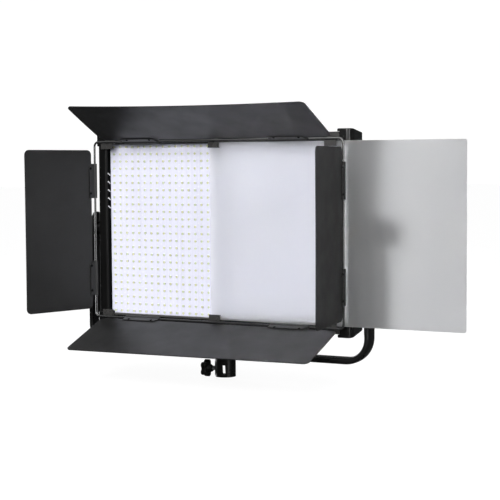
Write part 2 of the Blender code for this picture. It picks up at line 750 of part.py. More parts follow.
def bracket_mesh(length, chamfer_end):
    """A hinge bracket: a barrel round the wire and two flanges that hold the leaf's edge between them."""
    barrel = 3 * MM
    inner, outer = LEAF_THICK / 2 + GAP, LEAF_THICK / 2 + GAP + 1 * MM
    root, tip = LEAF_START - GAP, 10.4 * MM
    meet = math.degrees(math.asin(outer / barrel))
    outline = [(outer, tip), (inner, tip), (inner, root), (-inner, root), (-inner, tip), (-outer, tip)]
    outline += [(-y, x) for x, y in arc((0, 0), barrel, meet, 360 - meet, 12)]
    hole = arc((0, 0), WIRE_D / 2 + GAP, 0, 330, 11)
    mesh = extrusion_mesh(outline, length, [hole])
    for vertex in mesh.vertices:
        normal, reach, along = vertex.co
        if along * chamfer_end > 0:
            along -= chamfer_end * max(0, reach - root) * 1.2
        vertex.co = (along, reach, normal)
    bm = bmesh.new()
    bm.from_mesh(mesh)
    bmesh.ops.recalc_face_normals(bm, faces=bm.faces)
    bm.to_mesh(mesh)
    bm.free()
    return mesh


def make_leaf(word, location, along, towards, half_width, reach, bracket, chamfer_end):
    """One leaf and its two brackets, modelled flat on the hinge's own axes."""
    seat = add_seat(f"leaf_{word}_hinge", location, along, towards)
    length = reach - LEAF_START
    centre = (LEAF_SHIFTS[word] * sum(along), LEAF_START + length / 2)
    outline = rounded_rectangle(2 * half_width, length, LEAF_CORNER, 4, centre)
    plate = add_object(f"leaf_{word}", extrusion_mesh(outline, LEAF_THICK), LEAF_PAINT, smooth=False)
    plate.parent = seat
    offset, bracket_length = bracket
    for i, side in enumerate((-1, 1)):
        mesh = bracket_mesh(bracket_length, chamfer_end)
        piece = add_object(f"hinge_bracket_{word}_{i + 1}", mesh, LEAF_PAINT)
        piece.parent = seat
        piece.location = (side * offset, 0, 0)


def make_barn_doors():
    make_wire_frame()
    top = (0, -math.cos(TOP_ANGLE), math.sin(TOP_ANGLE))
    bottom = (0, -math.cos(BOTTOM_ANGLE), -math.sin(BOTTOM_ANGLE))
    left = (-math.sin(LEFT_ANGLE), -math.cos(LEFT_ANGLE), 0)
    right = (math.sin(RIGHT_ANGLE), -math.cos(RIGHT_ANGLE), 0)
    long_leaf = (LONG_LEAF_REACH, LONG_BRACKET)
    side_leaf = (SIDE_LEAF_HALF, SIDE_LEAF_REACH, SIDE_BRACKET)
    make_leaf("top", (0, RING_Y, up(RING_H)), (1, 0, 0), top, TOP_LEAF_HALF, *long_leaf, 1)
    make_leaf("bottom", (0, RING_Y, up(-RING_H)), (-1, 0, 0), bottom, BOTTOM_LEAF_HALF, *long_leaf, -1)
    make_leaf("left", (-RING_W, RING_Y, AXIS_Z), (0, 0, 1), left, *side_leaf, 1)
    make_leaf("right", (RING_W, RING_Y, AXIS_Z), (0, 0, -1), right, *side_leaf, -1)


# ---------------------------------------------------------------- controls


def make_control_panel():
    low_y = BACK_Y + GAP
    panel_mesh = extrusion_mesh(rounded_rectangle(*PANEL_SIZE, 4 * MM), PANEL_THICK)
    stand = Matrix.Translation((0, low_y + PANEL_THICK / 2, up(PANEL_Z))) @ Matrix.Rotation(math.pi / 2, 4, "X")
    panel_mesh.transform(stand)
    panel = add_object("control_panel", panel_mesh, BLACK_PLASTIC)
    for i, x in enumerate(DIAL_XS):
        hole = rod_mesh(DIAL_SHAFT_R + GAP, 20 * MM, (x, low_y, up(PANEL_Z)), (0, 1, 0), 20)
        boolean(panel, hole, f"dial_hole_{i + 1}")
    window = (DISPLAY_SIZE[0] + 2 * GAP, 20 * MM, DISPLAY_SIZE[1] + 2 * GAP)
    boolean(panel, block_mesh(window, (DISPLAY_X, low_y, up(PANEL_Z))), "display_opening")
    switch_hole = (SWITCH_SIZE[0] - 3 * MM, 20 * MM, SWITCH_SIZE[1] - 3 * MM)
    boolean(panel, block_mesh(switch_hole, (SWITCH_X, low_y, up(PANEL_Z + CONTROL_DZ))), "switch_opening")
    socket_hole = rod_mesh(5.8 * MM, 20 * MM, (SOCKET_X, low_y, up(PANEL_Z - CONTROL_DZ)), (0, 1, 0), 24)
    boolean(panel, socket_hole, "socket_opening")
    glass = block_mesh((DISPLAY_SIZE[0], 2.6 * MM, DISPLAY_SIZE[1]), (DISPLAY_X, low_y + 1.3 * MM, up(PANEL_Z)))
    display = add_object("display_window", glass, GLOSS_PLASTIC, smooth=False)
    for piece in (panel, display):
        place(piece, "tilt_axis")
    make_dials(low_y + PANEL_THICK)
    make_switch(low_y + PANEL_THICK)
    make_socket(low_y + PANEL_THICK)


def make_dials(face_y):
    for word, x in zip(("brightness", "colour"), DIAL_XS):
        seat = f"{word}_dial_axis"
        add_seat(seat, (x, face_y, up(PANEL_Z)), (1, 0, 0), (0, 1, 0))
        start = face_y + 0.6 * MM
        grips = 18
        outline = []
        for i in range(2 * grips):
            angle = math.pi * i / grips
            radius = DIAL_R if i % 2 else DIAL_R - 0.7 * MM
            outline.append((radius * math.cos(angle), radius * math.sin(angle)))
        mesh = extrusion_mesh(outline, DIAL_DEPTH)
        mesh.transform(
            Matrix.Translation((x, start + DIAL_DEPTH / 2, up(PANEL_Z))) @ Matrix.Rotation(math.pi / 2, 4, "X")
        )
        dial = add_object(f"{word}_dial", mesh, BLACK_PLASTIC)
        bore_depth = 8 * MM
        bore = rod_mesh(DIAL_SHAFT_R + GAP, 2 * bore_depth, (x, start, up(PANEL_Z)), (0, 1, 0), 16)
        boolean(dial, bore, f"{word}_dial_bore")
        shaft_low, shaft_high = face_y - 12 * MM, start + bore_depth - GAP
        shaft_mesh = rod_mesh(
            DIAL_SHAFT_R, shaft_high - shaft_low, (x, (shaft_low + shaft_high) / 2, up(PANEL_Z)), (0, 1, 0), 16
        )
        shaft = add_object(f"{word}_dial_shaft", shaft_mesh, STEEL)
        for piece in (dial, shaft):
            place(piece, seat)


def make_switch(face_y):
    """A rocker switch: a bezel frame, and a rocker that rests tipped one way."""
    z = up(PANEL_Z + CONTROL_DZ)
    wide, tall = SWITCH_SIZE
    opening = rounded_rectangle(wide - 5 * MM, tall - 4.4 * MM, 0.6 * MM, 1)
    frame_mesh = extrusion_mesh(rounded_rectangle(wide, tall, 1.5 * MM, 2), 1.8 * MM, [opening])
    frame_mesh.transform(
        Matrix.Translation((SWITCH_X, face_y + GAP + 0.9 * MM, z)) @ Matrix.Rotation(math.pi / 2, 4, "X")
    )
    place(add_object("switch_frame", frame_mesh, BLACK_PLASTIC), "tilt_axis")
    add_seat("switch_axis", (SWITCH_X, face_y, z))
    size = (wide - 6 * MM, 7 * MM, tall - 7 * MM)
    rocker_mesh = block_mesh(size, (0, 0.6 * MM, 0))
    rocker_mesh.transform(Matrix.Translation((SWITCH_X, face_y, z)) @ Matrix.Rotation(-SWITCH_TIP, 4, "X"))
    rocker = add_object("power_rocker", rocker_mesh, RED_PLASTIC)
    bevel(rocker, 0.7 * MM, 2)
    place(rocker, "switch_axis")


def make_socket(face_y):
    """The power inlet: a turned flange and barrel with a blind bore round its centre pin."""
    profile = [
        (1.1, 3), (1.1, -6), (3.1, -6), (3.1, 1.6), (8, 1.6), (8, 0.3),
        (5.5, 0.3), (5.5, -9), (0, -9), (0, 3),
    ]

    def build(bm):
        verts = [bm.verts.new((r * MM, 0, z * MM)) for r, z in profile]
        edges = [bm.edges.new((a, b)) for a, b in zip(verts, verts[1:])]
        edges.append(bm.edges.new((verts[-1], verts[0])))
        bmesh.ops.spin(
            bm, geom=verts + edges, cent=(0, 0, 0), axis=(0, 0, 1), angle=2 * math.pi, steps=24, use_merge=True
        )
        bmesh.ops.remove_doubles(bm, verts=bm.verts, dist=0.001 * MM)

    mesh = mesh_from(build)
    spot = (SOCKET_X, face_y, up(PANEL_Z - CONTROL_DZ))
    mesh.transform(Matrix.Translation(spot) @ Matrix.Rotation(-math.pi / 2, 4, "X"))
    place(add_object("dc_socket", mesh, BLACK_PLASTIC), "tilt_axis")


add_seat("tilt_axis", (0, 0, AXIS_Z))
make_yoke()
make_receiver()
make_clamp()
for side_sign, side_word in ((-1, "left"), (1, "right")):
    make_tilt_hardware(side_sign, side_word)
make_bezel()
for x_sign, x_word in ((-1, "left"), (1, "right")):
    for z_sign, z_word in ((-1, "bottom"), (1, "top")):
        make_guard(x_sign, z_sign, f"{z_word}_{x_word}")
make_rear_shell()
make_inside()
make_sheet()
make_clips()
make_barn_doors()
make_control_panel()
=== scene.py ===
import math

import bmesh
import bpy
from mathutils import Matrix, Vector


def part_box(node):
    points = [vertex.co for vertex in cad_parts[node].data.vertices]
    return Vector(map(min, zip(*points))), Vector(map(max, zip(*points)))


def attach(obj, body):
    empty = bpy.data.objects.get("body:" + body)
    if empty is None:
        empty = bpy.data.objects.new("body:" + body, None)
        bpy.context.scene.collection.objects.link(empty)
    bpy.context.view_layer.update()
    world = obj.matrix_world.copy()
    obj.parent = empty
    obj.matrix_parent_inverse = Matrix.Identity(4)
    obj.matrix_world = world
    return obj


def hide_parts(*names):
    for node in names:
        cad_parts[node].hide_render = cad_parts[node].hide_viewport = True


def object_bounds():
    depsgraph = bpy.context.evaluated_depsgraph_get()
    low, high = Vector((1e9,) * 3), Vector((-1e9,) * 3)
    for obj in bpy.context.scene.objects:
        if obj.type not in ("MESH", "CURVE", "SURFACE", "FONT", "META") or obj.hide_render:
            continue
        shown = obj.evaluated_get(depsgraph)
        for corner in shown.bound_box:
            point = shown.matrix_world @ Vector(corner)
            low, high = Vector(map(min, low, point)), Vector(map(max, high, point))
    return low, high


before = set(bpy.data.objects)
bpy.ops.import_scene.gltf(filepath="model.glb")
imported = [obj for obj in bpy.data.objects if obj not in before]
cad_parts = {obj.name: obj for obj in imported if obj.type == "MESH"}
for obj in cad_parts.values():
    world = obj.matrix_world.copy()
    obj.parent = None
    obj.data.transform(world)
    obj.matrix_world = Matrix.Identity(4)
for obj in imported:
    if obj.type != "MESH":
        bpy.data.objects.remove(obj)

cad_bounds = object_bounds()
scene = bpy.context.scene

MM = 0.001
BACK = (0, 1, 0)
SIDEWAYS = (1, 0, 0)
SIDES = ((-1, "left"), (1, "right"))
ROWS = ((-1, "bottom"), (1, "top"))
CORNERS = ((-1, -1), (1, -1), (1, 1), (-1, 1))


def span(node):
    """A CAD node's lowest corner, highest corner and middle."""
    low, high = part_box(node)
    return low, high, (low + high) / 2


def middle(node):
    return span(node)[2]


# Places taken from the frame: the tilt axis, the housing, its window and the hinge wire
AXIS_Z = middle("tilt_screw_left").z
WINDOW_W, FRONT_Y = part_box("bezel_right")[0].x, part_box("bezel_right")[0].y
HALF_W, SEAM_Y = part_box("bezel_right")[1].x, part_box("bezel_right")[1].y
WINDOW_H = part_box("bezel_top")[0].z - AXIS_Z
HALF_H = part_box("bezel_top")[1].z - AXIS_Z
BACK_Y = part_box("rear_shell")[1].y
PANEL_Z = middle("control_panel").z
PANEL_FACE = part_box("control_panel")[1].y

# How much narrower and lower the housing is at its back than at the seam, on each side
TAPER_W = 4.2 * MM
TAPER_H = 4 * MM

WIRE_D = 3.2 * MM
LEAF_THICK = 1.2 * MM
BOLT_HOLE_R = 4.3 * MM
SHAFT_HOLE_R = 3.3 * MM
GAP = 0.3 * MM
# The length of a cutting shape that only has to pass right through a wall
THROUGH = 20 * MM


def placed(name, data):
    """A new object with this data, in the scene."""
    made = bpy.data.objects.new(name, data)
    scene.collection.objects.link(made)
    return made


# ---------------------------------------------------------------- camera


def place_camera():
    """A camera in front of the light, to its right and a little above its middle, looking slightly down."""
    yaw, pitch, roll = 0.469924696, 0.0636734649, -0.00615062171
    ahead = Vector((-math.sin(yaw) * math.cos(pitch), math.cos(yaw) * math.cos(pitch), -math.sin(pitch)))
    level = Vector((math.cos(yaw), math.sin(yaw), 0))
    upright = level.cross(ahead)
    right = level * math.cos(roll) + upright * math.sin(roll)
    above = upright * math.cos(roll) - level * math.sin(roll)
    pose = Matrix((right, above, -ahead)).transposed().to_4x4()
    pose.translation = (0.8359, -1.5691, 0.2646)
    lens = bpy.data.cameras.new("camera")
    lens.lens = 94.08
    lens.sensor_width = 36
    lens.clip_end = 100
    camera = placed("camera", lens)
    camera.matrix_world = pose
    scene.camera = camera


# ---------------------------------------------------------------- finishes


# Nearly all of a noise pattern's values lie between these
PATTERN_LOW, PATTERN_HIGH = 0.3, 0.7


def set_inputs(node, values):
    """Give a shader node's inputs these constant values."""
    for name, value in values.items():
        node.inputs[name].default_value = value


class Finish:
    """A material: one Principled shader, and the patterns that vary its colour, gloss and relief."""

    def __init__(self, name, colour, roughness, metallic=0.0, settings=None):
        self.material = bpy.data.materials.new(name)
        self.material.use_nodes = True
        tree = self.material.node_tree
        self.nodes, self.links = tree.nodes, tree.links
        self.shader = self.nodes["Principled BSDF"]
        set_inputs(self.shader, {"Base Color": (*colour, 1), "Roughness": roughness, "Metallic": metallic})
        set_inputs(self.shader, settings or {})
        self.colour, self.roughness = colour, roughness
        self.place = self.nodes.new("ShaderNodeTexCoord").outputs["Object"]
        self.bumps = None

    def stretched(self, stretch):
        scaling = self.nodes.new("ShaderNodeMapping")
        scaling.inputs["Scale"].default_value = stretch
        self.links.new(self.place, scaling.inputs["Vector"])
        return scaling.outputs["Vector"]

    def cloud(self, size, detail=2.0, stretch=(1, 1, 1)):
        """Patches about this size across. stretch above 1 makes them finer along that axis."""
        noise = self.nodes.new("ShaderNodeTexNoise")
        set_inputs(noise, {"Scale": 1 / size, "Detail": detail})
        self.links.new(self.stretched(stretch), noise.inputs["Vector"])
        return noise.outputs["Fac"]

    def pebbles(self, size):
        """The fine leather-like cells of a moulded or powder-coated surface."""
        cells = self.nodes.new("ShaderNodeTexVoronoi")
        cells.feature = "SMOOTH_F1"
        cells.inputs["Scale"].default_value = 1 / size
        self.links.new(self.place, cells.inputs["Vector"])
        return cells.outputs["Distance"]

    def mottle(self, pattern, amount):
        """Vary the base colour by this share, darker and lighter."""
        ramp = self.nodes.new("ShaderNodeValToRGB")
        ends = ((PATTERN_LOW, 1 - amount), (PATTERN_HIGH, 1 + amount))
        for stop, (position, share) in zip(ramp.color_ramp.elements, ends):
            stop.position = position
            stop.color = (*(min(1, c * share) for c in self.colour), 1)
        self.links.new(pattern, ramp.inputs["Fac"])
        self.links.new(ramp.outputs["Color"], self.shader.inputs["Base Color"])
        return self

    def uneven_gloss(self, pattern, amount):
        spread = self.nodes.new("ShaderNodeMapRange")
        set_inputs(spread, {"From Min": PATTERN_LOW, "From Max": PATTERN_HIGH})
        set_inputs(spread, {"To Min": self.roughness - amount, "To Max": self.roughness + amount})
        self.links.new(pattern, spread.inputs["Value"])
        self.links.new(spread.outputs["Result"], self.shader.inputs["Roughness"])
        return self

    def relief(self, pattern, depth):
        bump = self.nodes.new("ShaderNodeBump")
        bump.inputs["Distance"].default_value = depth
        self.links.new(pattern, bump.inputs["Height"])
        if self.bumps:
            self.links.new(self.bumps, bump.inputs["Normal"])
        self.bumps = bump.outputs["Normal"]
        self.links.new(self.bumps, self.shader.inputs["Normal"])
        return self


def powder_coat(name, colour, roughness, gloss):
    coat = Finish(name, colour, roughness, settings={"Specular IOR Level": gloss})
    coat.mottle(coat.cloud(45 * MM, 4), 0.1)
    coat.uneven_gloss(coat.cloud(30 * MM, 5), 0.05)
    coat.relief(coat.cloud(1.1 * MM, 2), 0.03 * MM)
    coat.relief(coat.pebbles(0.5 * MM), 0.01 * MM)
    return coat.material


def moulded_plastic(name, colour, roughness, gloss=0.4):
    plastic = Finish(name, colour, roughness, settings={"Specular IOR Level": gloss})
    plastic.mottle(plastic.cloud(20 * MM, 3), 0.08)
    plastic.uneven_gloss(plastic.cloud(12 * MM, 4), 0.04)
    plastic.relief(plastic.pebbles(0.7 * MM), 0.02 * MM)
    return plastic.material


def worked_metal(name, colour, roughness, stretch):
    """Bare metal with fine drawing or brushing lines along the axis that isn't stretched."""
    metal = Finish(name, colour, roughness, 1.0)
    metal.mottle(metal.cloud(6 * MM, 3), 0.06)
    metal.uneven_gloss(metal.cloud(2 * MM, 3, stretch), 0.07)
    metal.relief(metal.cloud(0.8 * MM, 2, stretch), 0.008 * MM)
    return metal.material


def solder_mask(name, colour, roughness):
    mask = Finish(name, colour, roughness, settings={"Coat Weight": 0.15, "Coat Roughness": 0.2})
    mask.mottle(mask.cloud(2.4 * MM, 1, (1, 1, 0.01)), 0.035)
    mask.uneven_gloss(mask.cloud(15 * MM, 3), 0.05)
    mask.relief(mask.cloud(3 * MM, 2), 0.01 * MM)
    return mask.material


# The diffuser: its roughness and index, the share of light it catches, and how much of that it lets on
SHEET_ROUGH = 1.0
SHEET_IOR = 1.35
SHEET_HAZE = 0.88
SHEET_CLEAR = 0.95


def frosted_acrylic():
    settings = {"Transmission Weight": SHEET_CLEAR, "IOR": SHEET_IOR, "Alpha": SHEET_HAZE}
    acrylic = Finish("frosted_acrylic", (0.99, 0.99, 1.0), SHEET_ROUGH, settings=settings)
    acrylic.mottle(acrylic.cloud(80 * MM, 3), 0.01)
    acrylic.uneven_gloss(acrylic.cloud(25 * MM, 4), 0.02)
    acrylic.relief(acrylic.cloud(0.5 * MM, 2), 0.01 * MM)
    return acrylic.material


def phosphor(name, colour):
    gel = Finish(name, colour, 0.35)
    gel.mottle(gel.cloud(1.5 * MM, 2), 0.06)
    gel.relief(gel.cloud(0.6 * MM, 2), 0.02 * MM)
    return gel.material


LEAF_PAINT = powder_coat("leaf_powder_coat", (0.0065, 0.0065, 0.0065), 0.42, 0.4)
CASE_PAINT = powder_coat("case_satin_paint", (0.005, 0.0049, 0.0048), 0.27, 0.3)
RAIL_PAINT = powder_coat("rail_anodising", (0.0035, 0.0035, 0.0035), 0.33, 0.12)
# A lighter copy of the leaf paint: painted light for the light that the top and bottom brackets' plates catch
LIT_BRACKET_PAINT = powder_coat("bracket_paint_lit_copy", (0.014, 0.014, 0.014), 0.4, 0.4)
# Dark grey, lighter than the other black parts: painted highlight for the light on the clips' front flaps
CLIP_PAINT_WITH_HIGHLIGHT = powder_coat("clip_paint_painted_highlight", (0.035, 0.034, 0.033), 0.28, 0.6)
# Warm grey, far lighter than the black rails: painted reflection of the bright sheet in the ledge's black
# face
LEDGE_PAINTED_SHEEN = powder_coat("ledge_painted_sheen", (0.045, 0.044, 0.042), 0.42, 0.4)
LINER_BLACK = moulded_plastic("liner_black", (0.002, 0.002, 0.002), 0.8, 0.02)
YOKE_PAINT = powder_coat("yoke_paint", (0.006, 0.006, 0.006), 0.3, 0.32)
WIRE_PAINT = powder_coat("wire_paint", (0.018, 0.018, 0.018), 0.16, 1.0)
BLACK_PLASTIC = moulded_plastic("black_plastic", (0.005, 0.005, 0.005), 0.2, 0.35)
GRIP_PLASTIC = moulded_plastic("grip_plastic", (0.005, 0.005, 0.005), 0.45, 0.2)
GLOSS_PLASTIC = moulded_plastic("gloss_plastic", (0.006, 0.006, 0.007), 0.1, 0.5)
RED_PLASTIC = moulded_plastic("red_plastic", (0.45, 0.02, 0.018), 0.3)
MARK_PAINT = moulded_plastic("mark_paint", (0.75, 0.75, 0.75), 0.5)
STEEL = worked_metal("zinc_steel", (0.58, 0.58, 0.6), 0.3, (1, 6, 6))
DARK_STEEL = worked_metal("blackened_steel", (0.06, 0.06, 0.062), 0.35, (4, 4, 1))
BRASS = worked_metal("brass", (0.78, 0.55, 0.27), 0.28, (1, 5, 5))
ALUMINIUM = worked_metal("brushed_aluminium", (0.72, 0.72, 0.74), 0.35, (1, 8, 12))
WHITE_BOARD = solder_mask("white_solder_mask", (0.72, 0.725, 0.84), 0.5)
GREEN_BOARD = solder_mask("green_solder_mask", (0.03, 0.16, 0.07), 0.4)
LED_BODY = moulded_plastic("led_body", (0.76, 0.76, 0.78), 0.4)
COOL_PHOSPHOR = phosphor("cool_phosphor", (0.58, 0.66, 0.38))
WARM_PHOSPHOR = phosphor("warm_phosphor", (0.64, 0.65, 0.34))
FROSTED = frosted_acrylic()


# ---------------------------------------------------------------- shapes


def mesh_from(build):
    """A mesh made by build(bm) in a fresh bmesh, with its normals facing out."""
    bm = bmesh.new()
    build(bm)
    bmesh.ops.recalc_face_normals(bm, faces=bm.faces)
    shape = bpy.data.meshes.new("shape")
    bm.to_mesh(shape)
    bm.free()
    return shape


def blocks(size, spots):
    """One mesh of equal blocks, one at each spot."""

    def build(bm):
        for spot in spots:
            made = bmesh.ops.create_cube(bm, size=1)["verts"]
            bmesh.ops.scale(bm, verts=made, vec=size)
            bmesh.ops.translate(bm, verts=made, vec=spot)

    return mesh_from(build)


def skin(bm, *rings):
    """Faces from each ring of vertices to the next, and over the two ends."""
    for first, second in zip(rings, rings[1:]):
        for i in range(len(first)):
            k = (i + 1) % len(first)
            bm.faces.new((first[i], first[k], second[k], second[i]))
    bm.faces.new(rings[0])
    bm.faces.new(rings[-1])


def block(size, centre=(0, 0, 0)):
    return blocks(size, [centre])


def stand(axis, origin=(0, 0, 0)):
    """The placing that stands a +Z shape along an axis, at a point."""
    turn = Vector((0, 0, 1)).rotation_difference(Vector(axis)).to_matrix().to_4x4()
    return Matrix.Translation(origin) @ turn


def rod(radius, length, centre=(0, 0, 0), axis=(0, 0, 1), sides=48, far_radius=None):
    def build(bm):
        bmesh.ops.create_cone(
            bm,
            cap_ends=True,
            segments=sides,
            radius1=radius,
            radius2=radius if far_radius is None else far_radius,
            depth=length,
            matrix=stand(axis, centre),
        )

    return mesh_from(build)


def turned(profile, placing=None, steps=48):
    """A closed (radius, height) profile spun about Z."""

    def build(bm):
        verts = [bm.verts.new((r, 0, z)) for r, z in profile]
        pairs = zip(verts, verts[1:] + verts[:1])
        edges = [bm.edges.new(pair) for pair in pairs if any(vert.co.x > 0 for vert in pair)]
        whole_turn = {"cent": (0, 0, 0), "axis": (0, 0, 1), "angle": 2 * math.pi, "use_merge": True}
        bmesh.ops.spin(bm, geom=verts + edges, steps=steps, **whole_turn)
        bmesh.ops.remove_doubles(bm, verts=bm.verts, dist=0.001 * MM)
        if placing:
            bmesh.ops.transform(bm, matrix=placing, verts=bm.verts)

    return mesh_from(build)


def settled(holder):
    """The mesh that an object shows, once the object itself is taken away again."""
    graph = bpy.context.evaluated_depsgraph_get()
    made = bpy.data.meshes.new_from_object(holder.evaluated_get(graph))
    bpy.data.objects.remove(holder)
    return made


def closed_spline(curve, points):
    """Add a closed run of straight lines through these points to a curve."""
    spline = curve.splines.new("POLY")
    spline.points.add(len(points) - 1)
    for point, place in zip(spline.points, points):
        point.co = (*place, 1)
    spline.use_cyclic_u = True


def extrusion(outline, length, placing=None, holes=()):
    """A flat outline in X and Y, with holes, given an even thickness along Z about z = 0."""
    curve = bpy.data.curves.new("outline", "CURVE")
    curve.dimensions = "2D"
    curve.fill_mode = "BOTH"
    curve.extrude = length / 2
    for ring in (outline, *holes):
        closed_spline(curve, [(x, y, 0) for x, y in ring])
    flat = settled(placed("outline", curve))

    def build(bm):
        bm.from_mesh(flat)
        bmesh.ops.remove_doubles(bm, verts=bm.verts, dist=0.001 * MM)
        bmesh.ops.dissolve_limit(bm, angle_limit=math.radians(1), verts=bm.verts, edges=bm.edges)
        if placing:
            bmesh.ops.transform(bm, matrix=placing, verts=bm.verts)

    return mesh_from(build)


def joined(*shapes):
    def build(bm):
        for shape in shapes:
            bm.from_mesh(shape)

    return mesh_from(build)


def reshaped(shape, kind, **settings):
    """The mesh as one modifier leaves it."""
    holder = placed("holder", shape)
    added = holder.modifiers.new("work", kind)
    for name, value in settings.items():
        setattr(added, name, value)
    return settled(holder)


def cut(shape, *tools, operation="DIFFERENCE"):
    for tool_shape in tools:
        tool = placed("tool", tool_shape)
        shape = reshaped(shape, "BOOLEAN", operation=operation, object=tool)
        bpy.data.objects.remove(tool)
    return shape


def eased(shape, width, segments=3, angle=30):
    """Rounded edges, wherever two faces meet at more than the angle."""
    limit = math.radians(angle)
    return reshaped(shape, "BEVEL", width=width, segments=segments, limit_method="ANGLE", angle_limit=limit)


def rounded_where(shape, radius, segments, chosen):
    """The mesh with those edges rounded for which chosen(edge) holds."""

    def build(bm):
        bm.from_mesh(shape)
        edges = [edge for edge in bm.edges if chosen(edge)]
        bmesh.ops.bevel(bm, geom=edges, offset=radius, segments=segments, affect="EDGES", profile=0.5)

    return mesh_from(build)


def arc(centre, radius, start, end, steps):
    angles = [math.radians(start + (end - start) * i / steps) for i in range(steps + 1)]
    return [(centre[0] + radius * math.cos(a), centre[1] + radius * math.sin(a)) for a in angles]


def rounded_rectangle(width, height, radius, steps=8):
    points = []
    for quarter, (sx, sy) in enumerate(((1, 1), (-1, 1), (-1, -1), (1, -1))):
        corner = (sx * (width / 2 - radius), sy * (height / 2 - radius))
        points += arc(corner, radius, 90 * quarter, 90 * quarter + 90, steps)
    return points


def drafted(shape):
    """Draw all that lies behind the seam inwards towards the back, as the moulded housing's sides run."""

    def build(bm):
        bm.from_mesh(shape)
        everything = [*bm.verts, *bm.edges, *bm.faces]
        bmesh.ops.bisect_plane(bm, geom=everything, plane_co=(0, SEAM_Y, 0), plane_no=BACK)
        for vert in bm.verts:
            share = max(0, vert.co.y - SEAM_Y) / (BACK_Y - SEAM_Y)
            vert.co.x *= 1 - share * TAPER_W / HALF_W
            vert.co.z = AXIS_Z + (vert.co.z - AXIS_Z) * (1 - share * TAPER_H / HALF_H)

    return mesh_from(build)


def show(name, shape, body, stands_for=()):
    """Put a shape in the scene as one piece: on its body, in place of its CAD nodes."""
    piece = placed(name, shape)
    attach(piece, body)
    if stands_for:
        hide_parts(*stands_for)


def add(name, shape, material, body, stands_for=(), sharp=35):
    """Show a mesh as a piece in one material, smooth but for the edges sharper than this angle."""
    shape.materials.clear()
    shape.materials.append(material)
    shape.shade_smooth()
    shape.set_sharp_from_angle(angle=math.radians(sharp))
    show(name, reshaped(shape, "WEIGHTED_NORMAL", keep_sharp=True), body, stands_for)


def refinish(material, *nodes):
    """Give CAD nodes that stay in view their finished material."""
    for node in nodes:
        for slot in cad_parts[node].material_slots:
            slot.link = "OBJECT"
            slot.material = material


def screw_head(radius, height, placing):
    """A pan head with a cross recess, standing along +Z."""
    buried = 0.5 * MM
    top = arc((radius - height, 0), height, 0, 70, 5)
    shape = turned([(0, -buried), (radius, -buried), *top, (0, height)], steps=24)
    long, wide, tall = radius * 1.1, radius * 0.28, height * 1.2
    shape = cut(shape, block((long, wide, tall), (0, 0, height)), block((wide, long, tall), (0, 0, height)))
    shape.transform(placing)
    return shape


# ---------------------------------------------------------------- yoke


def oval_section(thick, depth, steps=36):
    """A flat oval, thin across the arm and deep along Y, with fuller corners than an ellipse's."""
    power = 0.65
    points = []
    for i in range(steps):
        c, s = math.cos(2 * math.pi * i / steps), math.sin(2 * math.pi * i / steps)
        across, along = math.copysign(abs(c) ** power, c), math.copysign(abs(s) ** power, s)
        points.append((thick / 2 * across, depth / 2 * along))
    return points


def yoke_stations():
    """Centre, outward angle and section size, from an eye's top down its arm and round to the bar."""
    low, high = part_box("yoke_tube")
    tube_thick, tube_depth = 9 * MM, high.y - low.y - 2 * MM
    arm_x, bar_z, bend_r = high.x - tube_thick / 2, low.z + tube_thick / 2, 31 * MM
    eye_x, eye_thick, eye_depth = 206.8 * MM, 5.6 * MM, high.y - low.y
    stations = []
    # The eye's end is a half round: each station's depth follows it
    eye_centre = high.z - eye_depth / 2
    for degrees in range(84, -1, -12):
        angle = math.radians(degrees)
        width = max(eye_depth * math.cos(angle), 2 * MM)
        stations.append((eye_x, eye_centre + eye_depth / 2 * math.sin(angle), 0.0, eye_thick, width))
    # Below the eye the flattened end rounds out to the tube and steps outward to the arm
    neck_top, neck_length = AXIS_Z - 17 * MM, 22 * MM
    for drop in (0, 5 * MM, 10 * MM, 16 * MM, neck_length):
        share = drop / neck_length
        ease = share * share * (3 - 2 * share)
        x = eye_x + (arm_x - eye_x) * ease
        thick = eye_thick + (tube_thick - eye_thick) * ease
        depth = eye_depth + (tube_depth - eye_depth) * ease
        stations.append((x, neck_top - drop, 0.0, thick, depth))
    bend_steps = 16
    for i in range(bend_steps + 1):
        angle = math.radians(90 * i / bend_steps)
        x = arm_x - bend_r + bend_r * math.cos(angle)
        z = bar_z + bend_r - bend_r * math.sin(angle)
        stations.append((x, z, angle, tube_thick, tube_depth))
    return stations


def make_yoke():
    half = yoke_stations()
    whole = [(-x, z, (-math.cos(a), 0, -math.sin(a)), t, d) for x, z, a, t, d in half]
    whole += [(x, z, (math.cos(a), 0, -math.sin(a)), t, d) for x, z, a, t, d in reversed(half)]

    def build(bm):
        rings = []
        for x, z, outward, thick, depth in whole:
            spot = Vector((x, 0, z))
            section = oval_section(thick, depth)
            rings.append([bm.verts.new(spot + a * Vector(outward) + Vector((0, y, 0))) for a, y in section])
        skin(bm, *rings)

    low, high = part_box("yoke_tube")
    eyes = rod(BOLT_HOLE_R, 2 * high.x + THROUGH, (0, 0, AXIS_Z), SIDEWAYS, 32)
    bolt_hole = rod(BOLT_HOLE_R, 30 * MM, (0, 0, low.z), sides=32)
    add("yoke", cut(mesh_from(build), eyes, bolt_hole), YOKE_PAINT, "yoke", ["yoke_tube"])


